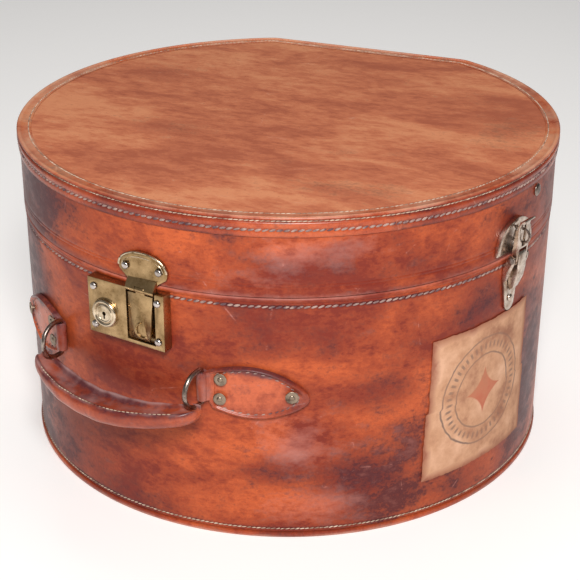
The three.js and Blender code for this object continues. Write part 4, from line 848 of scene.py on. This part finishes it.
# ---- Rivets -------------------------------------------------------------------------------
def dome_model(head, rise, shank, depth):
    """A domed rivet standing on the X-Y plane, its shank below."""
    profile = [(shank, -depth), (shank, -0.02 * MM), (head * 0.97, 0), (head, 0.12 * MM),
               (head * 0.97, rise * 0.3), (head * 0.86, rise * 0.58), (head * 0.64, rise * 0.84),
               (head * 0.34, rise * 0.97), (head * 0.06, rise)]
    return lathe("rivet_model", profile, 20)


def rivets(model, body, slot, material, places):
    """places: node name, azimuth of the face, across, up, seat, turn towards the side's normal in degrees."""
    for node, azimuth, across, up, seat, turn in places:
        turned = face(azimuth) @ Matrix.Rotation(math.radians(turn), 4, "Y")
        piece = copies(node + "_finish", model, [turned @ Matrix.Translation((across, up, seat))])
        finished(piece, body, slot, material, node)
    bpy.data.objects.remove(model)


body_side()
lid_side()
lid_top()
base_panel()
lid_binding()
inner_wall("board_shell", "body_board", 3.3 * MM, 2.5 * MM, BOARD, "board", "box")
tray("cotton_body_lining", "body_lining", 6.1 * MM, True, COTTON, "lining", "box")
tray("cotton_lid_lining", "lid_lining", 2.5 * MM, False, COTTON, "lining", "lid")
stitching()

# ---- Wire, turned and joined pieces ---------------------------------------------------------
def moved(piece, matrix):
    """Moves the piece's mesh to its place and leaves the object at the origin."""
    piece.data.transform(matrix)
    piece.data.update()
    return piece


def wire(name, places, radius, closed=False, steps=14):
    """Round wire along places in a face, its section turned with the run."""
    loops = []
    count = len(places)
    for i, place in enumerate(places):
        before = places[i - 1] if closed or i else place
        after = places[(i + 1) % count] if closed or i + 1 < count else place
        run = (after - before).normalized()
        aside = run.cross(Vector((1, 0, 0)) if abs(run.x) < 0.6 else Vector((0, 0, 1))).normalized()
        over = run.cross(aside)
        turns = [math.tau * k / steps for k in range(steps)]
        loops.append([place + radius * (aside * math.cos(turn) + over * math.sin(turn)) for turn in turns])
    return loft(name, loops, ring=closed)


def joined(first, *others):
    """Joins the others into the first."""
    deselect()
    for piece in (first, *others):
        piece.select_set(True)
    bpy.context.view_layer.objects.active = first
    bpy.ops.object.join()
    return first


# ---- Rivets, studs and washers --------------------------------------------------------------
lock_rivets = []
for number, (across, up) in enumerate(LOCK_RIVETS, 1):
    lock_rivets.append((f"lock_rivet_{number}", LOCK_AZ, across * MM, up * MM, LOCK_FRONT + GAP, 0))
rivets(dome_model(2.7 * MM, 1.5 * MM, 1.1 * MM, 6 * MM), "box", "steel", NICKEL, lock_rivets)

hasp_rivets = []
for number, (across, up) in enumerate(HASP_RIVETS, 1):
    seat = side_out(across * MM, PLAN_RADIUS + 3.2 * MM) + HASP_RIVET_RISE
    hasp_rivets.append((f"hasp_rivet_{number}", LOCK_AZ, across * MM, up * MM, seat, 0))
rivets(dome_model(2.7 * MM, 1.3 * MM, 1.1 * MM, 5 * MM), "lid", "steel", NICKEL, hasp_rivets)

for side, azimuth in STUD_AZ.items():
    rivets(dome_model(4.5 * MM, 1.6 * MM, 1.4 * MM, 2.4 * MM), "lid", "steel", STEEL,
           [(f"lid_stud_{side}", azimuth, 0, STUD_UP, PLAN_RADIUS + LID_PROUD + GAP, 0)])
for side, azimuth in CLASP_AZ.items():
    rivets(dome_model(2.7 * MM, 1.3 * MM, 1.1 * MM, 4.4 * MM), "box", "steel", COPPERED,
           [(f"clasp_rivet_{side}", azimuth, 0, CLASP_RIVET_UP, PLAN_RADIUS + 2.1 * MM, 0)])


def washer_model():
    """A dished washer with its rivet's small head in the middle."""
    profile = [(1.4, -6), (1.4, -0.05), (4.3, 0), (4.55, 0.25), (4.5, 0.7), (4.15, 0.95), (3.3, 0.9),
               (2.3, 0.7), (1.9, 0.72), (1.7, 1.05), (1.2, 1.35), (0.5, 1.5), (0.08, 1.52)]
    return lathe("washer_model", [(r * MM, h * MM) for r, h in profile], 24)


for side, sign in (("left", -1), ("right", 1)):
    places = []
    for number, (turn, up) in enumerate(PATCH_RIVETS, 1):
        places.append((f"patch_rivet_{side}_{number}", HANDLE_AZ, 0, up * MM, PLAN_RADIUS + GAP + 4.2 * MM,
                       sign * turn))
    rivets(washer_model(), "box", "steel", WASHER, places)

# ---- Handle, rings and patches --------------------------------------------------------------
GRIP_HALF = 71 * MM
GRIP_STITCHES = 38
# Radius and half width of the slot that the ring runs in, as a ring's section.
RING_SLOT = [(10.5, -4.7), (15.6, -4.7), (15.6, 4.7), (10.5, 4.7)]
# One section of the grip, across its width (-1 to 1) and down its depth (0 to 1): two ridges with a channel
# between them on top, and a round belly.
GRIP_SECTION = [(-0.99, 0.34), (-0.98, 0.16), (-0.93, 0.04), (-0.84, -0.03), (-0.73, 0.0), (-0.64, 0.1),
                (-0.54, 0.19), (-0.25, 0.21), (0, 0.2), (0.25, 0.21), (0.42, 0.2), (0.5, 0.13), (0.58, 0.05),
                (0.7, 0.02), (0.84, 0.05), (0.95, 0.13), (1.0, 0.28), (0.99, 0.48), (0.9, 0.68), (0.73, 0.85),
                (0.45, 0.96), (0.15, 1.0), (-0.15, 1.0), (-0.45, 0.96), (-0.73, 0.85), (-0.9, 0.68),
                (-0.98, 0.48)]


def grip_spine(along):
    """Top, depth, half width and distance out of the grip at a place along it, -1 to 1."""
    share = max(0.0, 1 - along * along)
    end = max(0.0, (abs(along) - 0.86) / 0.14)
    rounding = math.sqrt(max(0.0, 1 - 0.75 * end ** 2.2))
    wobble = 1 + 0.03 * math.sin(along * 9) + 0.02 * math.sin(along * 23)
    top, deep, half, out = (a + (b - a) * share for a, b in ((112, 105.5), (11, 15.5), (9, 12), (209, 227)))
    return top * MM, deep * MM * (0.55 + 0.45 * rounding), half * MM * rounding * wobble, out * MM


def grip():
    """The leather grip with its two ring slots, and the row of stitches on its front ridge."""
    loops = []
    for i in range(57):
        along = -1 + 2 * i / 56
        top, deep, half, out = grip_spine(along)
        ragged = 0.5 * MM * noise.noise(Vector((along * 6, 0, 0)))
        loops.append([(along * GRIP_HALF, top - v * deep + (ragged if v < 0.1 else 0), out + u * half)
                      for u, v in GRIP_SECTION])
    piece = loft("leather_grip", loops)
    for sign in (-1, 1):
        cutter = loft("cutter", [circle(r * MM, h * MM, 40) for r, h in RING_SLOT], ring=True)
        moved(cutter, Matrix.Translation((sign * RING_HALF, RING_CENTRE, RING_AXIS))
              @ Matrix.Rotation(math.pi / 2, 4, "Y"))
        modify(piece, "BOOLEAN", object=cutter, operation="DIFFERENCE", solver="EXACT")
        bpy.data.objects.remove(cutter)
    modify(piece, "SUBSURF", levels=1, render_levels=1)
    smooth(piece, 45)

    def section_share(place):
        """Where a place is in the grip's section: across, down, and how far it is on top."""
        top, deep, half, out = grip_spine(place.x / GRIP_HALF)
        down = (top - place.y) / deep
        return (place.z - out) / half, down, 1 - min(1, max(0, down / 0.35))

    # Darker on the grip: dirt on the top, and painted shade along the channel's edges (sides) and on the
    # underside (under).
    def darkening(place):
        across, down, upper = section_share(place)
        sides = math.exp(-((abs(across) - 0.58) / 0.12) ** 2)
        under = max(0, down - 0.75) * 2
        return (0.8 + 0.5 * sides) * upper + 0.5 * noise.noise(place * 60) + 0.1 + under
    paint(piece, "stain", darkening)

    def rubbing(place):
        across, _, upper = section_share(place)
        end = max(0.0, (abs(place.x) - 50 * MM) / (20 * MM))
        ridge = math.exp(-((abs(across) - 0.8) / 0.1) ** 2) * upper * (0.6 if across > 0 else 1.5)
        channel = 1.25 * upper * math.exp(-(across / 0.62) ** 4)
        rough = 0.55 + 0.9 * noise.noise(place * 70) + 0.5 * noise.noise(place * 190)
        return (ridge + channel + 0.75 * end * (0.4 + 0.6 * upper)) * rough
    paint(piece, "wear_and_sheen", rubbing)
    moved(piece, face(HANDLE_AZ))
    finished(piece, "grip", "handle_leather", HANDLE, "handle_grip")
    frames = []
    model = stitch_model(3.0 * MM, 1.0 * MM, 0.9 * MM)
    for i in range(GRIP_STITCHES):
        along = 0.8 * (2 * i / (GRIP_STITCHES - 1) - 1)
        top, deep, half, out = grip_spine(along)
        beyond = grip_spine(along + 0.01)
        run = Vector((0.01 * GRIP_HALF, beyond[0] - top, beyond[3] - out)).normalized()
        aside = run.cross(Vector((0, 1, 0))).normalized()
        basis = Matrix((run, aside, aside.cross(run) * -1)).transposed().to_4x4()
        seat = Matrix.Translation((along * GRIP_HALF, top - 0.04 * deep, out + 0.7 * half))
        frames.append(face(HANDLE_AZ) @ seat @ basis)
    row = copies("stitches_grip", model, frames)
    bpy.data.objects.remove(model)
    finished(row, "grip", "handle_leather", THREAD_PALE)


def d_ring(side, sign):
    """Round wire bent to a D: an upright bar, two arms and a half circle."""
    corner = 2.4 * MM
    path = [(-RING_RADIUS + corner, RING_SEAT), (-RING_RADIUS + 0.5 * corner, RING_SEAT + 0.13 * corner),
            (-RING_RADIUS + 0.13 * corner, RING_SEAT + 0.5 * corner), (-RING_RADIUS, RING_SEAT + corner)]
    for i in range(25):
        a = math.pi * i / 24
        path.append((-RING_RADIUS * math.cos(a), RING_AXIS + RING_RADIUS * math.sin(a)))
    path += [(-up, out) for up, out in reversed(path[:4])]
    for i in range(1, 6):
        path.append((RING_RADIUS - corner - (2 * RING_RADIUS - 2 * corner) * i / 6, RING_SEAT))
    places = [Vector((sign * RING_HALF, RING_CENTRE + up, out)) for up, out in path]
    piece = moved(wire(f"steel_ring_{side}", places, RING_WIRE, closed=True), face(HANDLE_AZ))
    finished(piece, f"ring_{side}", "steel", STEEL, f"d_ring_{side}")


def on_side(across, up, rise):
    """A face place bent round the drum: across measured straight, rise above the hide along its normal."""
    angle = math.asin(across / (PLAN_RADIUS + GAP))
    reach = PLAN_RADIUS + GAP + rise
    return (reach * math.sin(angle), up, reach * math.cos(angle))


def patch(side, sign):
    """A pointed leaf with a thick rolled edge and a sunken field, sewn down, wrapped round the ring's bar."""
    middle = RING_CENTRE - 3 * MM
    start, tip = 65.6 * MM, 125 * MM
    outline = []
    for edge in (1, -1):
        low = 14 if edge > 0 else 13
        for i in range(30):
            t = i / 30 if edge > 0 else 1 - i / 30
            x = start + (tip - start) * math.sin(t * math.pi / 2) ** 1.1
            along = (x - start) / (tip - start)
            swell = low + 7.5 * math.sin(math.pi * along * 0.85)
            y = swell * math.sqrt(max(0, 1 - along ** 2.6)) - edge * 4 * along ** 2
            outline.append((x, middle + edge * y * MM))
        if edge < 0:
            for i in range(1, 6):
                outline.append((start, middle + (-low + (low + 13.5) * i / 6) * MM))
    centre = Vector((start + 24 * MM, middle))
    # share of the outline and rise above the hide, from the foot over the rolled edge to the middle
    rings = ((1.0, 0.0), (1.004, 0.8), (1.0, 2.4), (0.985, 3.3), (0.955, 3.75), (0.925, 3.6), (0.9, 3.0),
             (0.875, 2.3), (0.85, 2.1), (0.8, 2.15), (0.68, 2.3), (0.5, 2.35), (0.3, 2.3), (0.1, 2.3))
    loops = []
    for share, rise in rings:
        loop = []
        for x, y in outline:
            place = centre + (Vector((x, y)) - centre) * share
            lift = rise * (1.06 if y > middle else 0.94)
            loop.append(on_side(place.x, place.y, lift * MM))
        loops.append([(sign * x, y, z) for x, y, z in loop])
    leaf = loft(f"leather_patch_{side}", loops)
    radii = ((2.1, -10.8), (3.4, -10.8), (3.75, -10.2), (3.8, 0), (3.75, 10.2), (3.4, 10.8), (2.1, 10.8))
    tunnel = loft("tunnel", [circle(r * MM, h * MM, 24) for r, h in radii], ring=True)
    moved(tunnel, Matrix.Translation((sign * RING_HALF, RING_CENTRE, RING_SEAT))
          @ Matrix.Rotation(-math.pi / 2, 4, "X"))
    strap = []
    for x, rise in ((63.2, 7.3), (65.5, 6.2), (68, 4.4), (70.5, 3.4), (70.5, 1), (63.8, 1)):
        strap.append((x * MM, rise * MM))
    wrap = loft("wrap", [[(sign * x, RING_CENTRE + up * MM, on_side(x, 0, rise)[2]) for x, rise in strap]
                         for up in (-10.6, -10, 0, 10, 10.6)])
    piece = joined(leaf, tunnel, wrap)
    smooth(piece, 45)

    def edge_share(place):
        """How near a place is to the leaf's edge, from 0 along its middle to 1."""
        t = min(1, max(0, (abs(place.x) / MM - 65.6) / 64))
        half = 16.5 * math.sqrt(max(0.01, 1 - t ** 1.9))
        return min(1, max(0, abs(place.y - middle) / MM / half))

    def darkening(place):
        edge = 0.9 * max(0, edge_share(place) - 0.7) / 0.3 * (1.3 if place.y > middle else 0.3)
        return edge + 0.3 * noise.noise(place * 50) + (0.35 if abs(place.x) < 70 * MM else 0)

    def rubbing(place):
        wrapped = 0.5 * (0.5 + noise.noise(place * 120)) if abs(place.x) < 69 * MM else 0
        return wrapped + 0.35 * math.exp(-((edge_share(place) - 0.93) / 0.05) ** 2)

    paint(piece, "stain", darkening)
    paint(piece, "wear_and_sheen", rubbing)
    moved(piece, face(HANDLE_AZ))
    finished(piece, "box", "handle_leather", HANDLE, f"handle_patch_{side}")
    model = stitch_model(2.9 * MM, 0.9 * MM, 0.7 * MM)
    frames = []
    places = []
    for x, y in outline:
        place = centre + (Vector((x, y)) - centre) * 0.835
        if place.x > start + 4 * MM:
            places.append(place)
    walked = [places[0]]
    for place in places:
        if (place - walked[-1]).length > 2.9 * MM:
            walked.append(place)
    for i, place in enumerate(walked[:-1]):
        ahead = walked[i + 1]
        here = Vector(on_side(place.x, place.y, 2.35 * MM))
        there = Vector(on_side(ahead.x, ahead.y, 2.35 * MM))
        here.x *= sign
        there.x *= sign
        run = (there - here).normalized()
        if (there - here).length > 6 * MM:
            continue
        out = Vector((here.x, 0, here.z)).normalized()
        across = out.cross(run).normalized()
        out = run.cross(across)
        basis = Matrix((run, across, out)).transposed().to_4x4() @ Matrix.Rotation(0.3, 4, "Z")
        frames.append(face(HANDLE_AZ) @ Matrix.Translation(here) @ basis)
    row = copies(f"stitches_patch_{side}", model, frames)
    bpy.data.objects.remove(model)
    finished(row, "box", "handle_leather", THREAD)


grip()
for side, sign in (("left", -1), ("right", 1)):
    d_ring(side, sign)
    patch(side, sign)


# ---- Lock barrel, label and hasp beads -----------------------------------------------------
def key_barrel():
    """A turned face with a raised rim, a groove and a dished middle, and a keyhole through it."""
    seat = LOCK_FRONT + 1.1 * MM
    profile = [(4.4, -6), (4.4, -0.3), (9.9, 0), (10.1, 0.4), (10.0, 1.5), (9.6, 2.2), (8.9, 2.5),
               (8.2, 2.4), (7.6, 1.9), (7.2, 1.6), (6.8, 1.75), (6.5, 2.15), (6.0, 2.3), (5.5, 2.15),
               (5.2, 1.8), (4.0, 1.7), (2.0, 1.7), (0.1, 1.7)]
    piece = lathe("brass_key_barrel", [(r * MM, h * MM) for r, h in profile], 40)
    hole = lathe("keyhole", [(1.5 * MM, -5 * MM), (1.5 * MM, 5 * MM)], 20)
    deselect()
    bpy.ops.mesh.primitive_cube_add(size=1, location=(0, -2 * MM, 0))
    bit = bpy.context.object
    bit.data.transform(Matrix.Diagonal((1.3 * MM, 3.8 * MM, 10 * MM, 1)))
    bpy.ops.object.transform_apply(location=True)
    for cutter in (hole, bit):
        modify(piece, "BOOLEAN", object=cutter, operation="DIFFERENCE", solver="EXACT")
        bpy.data.objects.remove(cutter)
    smooth(piece, 40)
    across, up = BARREL_PLACE
    moved(piece, face(LOCK_AZ) @ Matrix.Translation((across * MM, up * MM, seat)))
    finished(piece, "key_barrel", "brass", PALE_BRASS, "lock_barrel")


def baggage_label():
    """An old printed sheet pasted to the side, its edges rubbed away unevenly."""
    deselect()
    bpy.ops.mesh.primitive_grid_add(x_subdivisions=70, y_subdivisions=74, size=1)
    piece = bpy.context.object
    piece.name = "paper_sheet"
    for vertex in piece.data.vertices:
        u, v = vertex.co.x * 2, vertex.co.y * 2
        tear = 1 + 0.012 * noise.noise(Vector((u * 5, v * 5, 1)))
        tear += 0.01 * noise.noise(Vector((u * 17, v * 17, 4)))
        lean = 1.5 * MM * v - 1.2 * MM * u * v
        across = u * LABEL_WIDTH / 2 * tear * (1.0 + (0.01 if v < 0 else -0.03)) + 0.4 * lean
        up = LABEL_MIDDLE + v * LABEL_HEIGHT / 2 * tear + 0.6 * MM * u
        cockle = 0.12 * MM * (noise.noise(Vector((u * 3, v * 3, 0))) + 0.5)
        vertex.co = on_side(across, up, 0.1 * MM + cockle)
    modify(piece, "SOLIDIFY", thickness=0.3 * MM, offset=1.0)
    smooth(piece, 50)
    moved(piece, face(LABEL_AZ))
    finished(piece, "box", "paper", PAPER, "paper_label")


key_barrel()
baggage_label()


def arch(half, foot, top, steps=30):
    """Across and up places along an arch standing on its feet."""
    return [(half * math.cos(math.pi * (1 - i / steps)), foot + (top - foot) * math.sin(math.pi * i / steps))
            for i in range(steps + 1)]


def on_lid(across, up, rise):
    """A face place above the lid's side."""
    return Vector((across, up, side_out(across, PLAN_RADIUS + LID_PROUD + GAP + rise)))


def rims():
    """Two raised beads along the rounded edge of the hasp plate."""
    beads = []
    for half, foot, top, thick in ((18.6, 198, 209.6, 0.9), (15.8, 198.5, 206.4, 0.6)):
        places = [on_lid((12.5 + x) * MM, up * MM, 1.95 * MM) for x, up in arch(half, foot, top)]
        beads.append(moved(wire("bead", places, thick * MM, steps=10), face(LOCK_AZ)))
    return joined(*beads)


hasp_rim = rims()
hasp_rim.name = "brass_hasp_beads"
finished(hasp_rim, "lid", "brass", PALE_BRASS)

# ---- Metal kept from the solids, with softened edges ---------------------------------------
REFINED = {
    "box": {"lock_case": BRASS, "hinge_body_leaf_1": BRASS, "hinge_body_leaf_2": BRASS,
            "clasp_base_left": COPPERED, "clasp_base_right": COPPERED, "clasp_cover_left": COPPERED,
            "clasp_cover_right": COPPERED},
    "lid": {"hasp_plate": BRASS, "hinge_lid_leaf_1": BRASS, "hinge_lid_leaf_2": BRASS,
            "clasp_plate_left": COPPERED, "clasp_plate_right": COPPERED},
    "flap": {"lock_flap": BRASS},
    "lever_left": {"clasp_lever_left": COPPERED},
    "lever_right": {"clasp_lever_right": COPPERED},
}
for body, parts in REFINED.items():
    for node_name, material in parts.items():
        slot = "brass" if material is BRASS else "steel"
        finished(refined(node_name), body, slot, material, node_name)


def hinge_rivets(leaf, body, up):
    """Rivets in a hinge leaf, at their distances along and away from the hinge line."""
    low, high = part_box(leaf)
    middle = (low.x + high.x) / 2
    line = (MOUTH + LID_LOW) / 2
    seat = low.y + HINGE_THICK
    frames = []
    for along, away in HINGE_RIVETS:
        place = Matrix.Translation((middle + along * MM, seat, line + up * away * MM))
        frames.append(place @ Matrix.Rotation(-math.pi / 2, 4, "X"))
    model = dome_model(2.4 * MM, 0.9 * MM, 1.2 * MM, 1 * MM)
    piece = copies(leaf + "_rivets", model, frames)
    bpy.data.objects.remove(model)
    finished(piece, body, "brass", PALE_BRASS)


for number in (1, 2):
    hinge_rivets(f"hinge_body_leaf_{number}", "box", -1)
    hinge_rivets(f"hinge_lid_leaf_{number}", "lid", 1)

# The CAD nodes that still show are steel: the bolt, the staples and the pins.
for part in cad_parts.values():
    part.data.materials.clear()
    part.data.materials.append(STEEL)


# ---- Floor, light and camera --------------------------------------------------------------
def studio():
    """A pale floor, a plain pale surround and three soft lights."""
    deselect()
    bpy.ops.mesh.primitive_plane_add(size=8)
    floor = bpy.context.object
    floor.name = "studio_floor"
    made, tree, shader = new_material("floor_pale_matt")
    shader.inputs["Base Color"].default_value = tone("#f2efec")
    shader.inputs["Roughness"].default_value = 0.9
    shader.inputs["Emission Color"].default_value = tone("#ffffff")
    shader.inputs["Emission Strength"].default_value = 0.22
    floor.data.materials.append(made)
    world = bpy.data.worlds.new("studio")
    world.use_nodes = True
    world.node_tree.nodes["Background"].inputs[0].default_value = tone("#f4f2f0")
    world.node_tree.nodes["Background"].inputs[1].default_value = 0.13
    bpy.context.scene.world = world
    for name, azimuth, elevation, distance, size, power in (
            ("key", 24, 42, 2.0, 0.45, 36), ("fill", -60, 30, 2.2, 1.6, 1.0), ("back", 205, 66, 2.0, 1, 9)):
        a, e = math.radians(azimuth), math.radians(elevation)
        place = Vector((math.sin(a) * math.cos(e), -math.cos(a) * math.cos(e), math.sin(e))) * distance
        deselect()
        bpy.ops.object.light_add(type="AREA", location=place)
        light = bpy.context.object
        light.name = name
        light.data.size = size
        light.data.energy = power
        light.rotation_euler = (-place).to_track_quat("-Z", "Y").to_euler()


def camera():
    """Looks down at the lock side from the right."""
    turn, elevation, distance = math.radians(21.87), math.radians(29.92), 1.2209
    down, aside, roll = math.radians(25.84), math.radians(0.086), math.radians(0.2)
    level = math.cos(elevation)
    eye = Vector((math.sin(turn) * level, -math.cos(turn) * level, math.sin(elevation)))
    deselect()
    bpy.ops.object.camera_add(location=eye * distance)
    view = bpy.context.object
    tilt = Matrix.Rotation(math.pi / 2 - down, 4, "X") @ Matrix.Rotation(roll, 4, "Z")
    view.rotation_euler = (Matrix.Rotation(turn - aside, 4, "Z") @ tilt).to_euler()
    view.data.lens = 91.53
    view.data.sensor_width = 36
    view.data.clip_start = 0.05
    bpy.context.scene.camera = view


studio()
camera()
bpy.context.scene.view_settings.view_transform = "Standard"
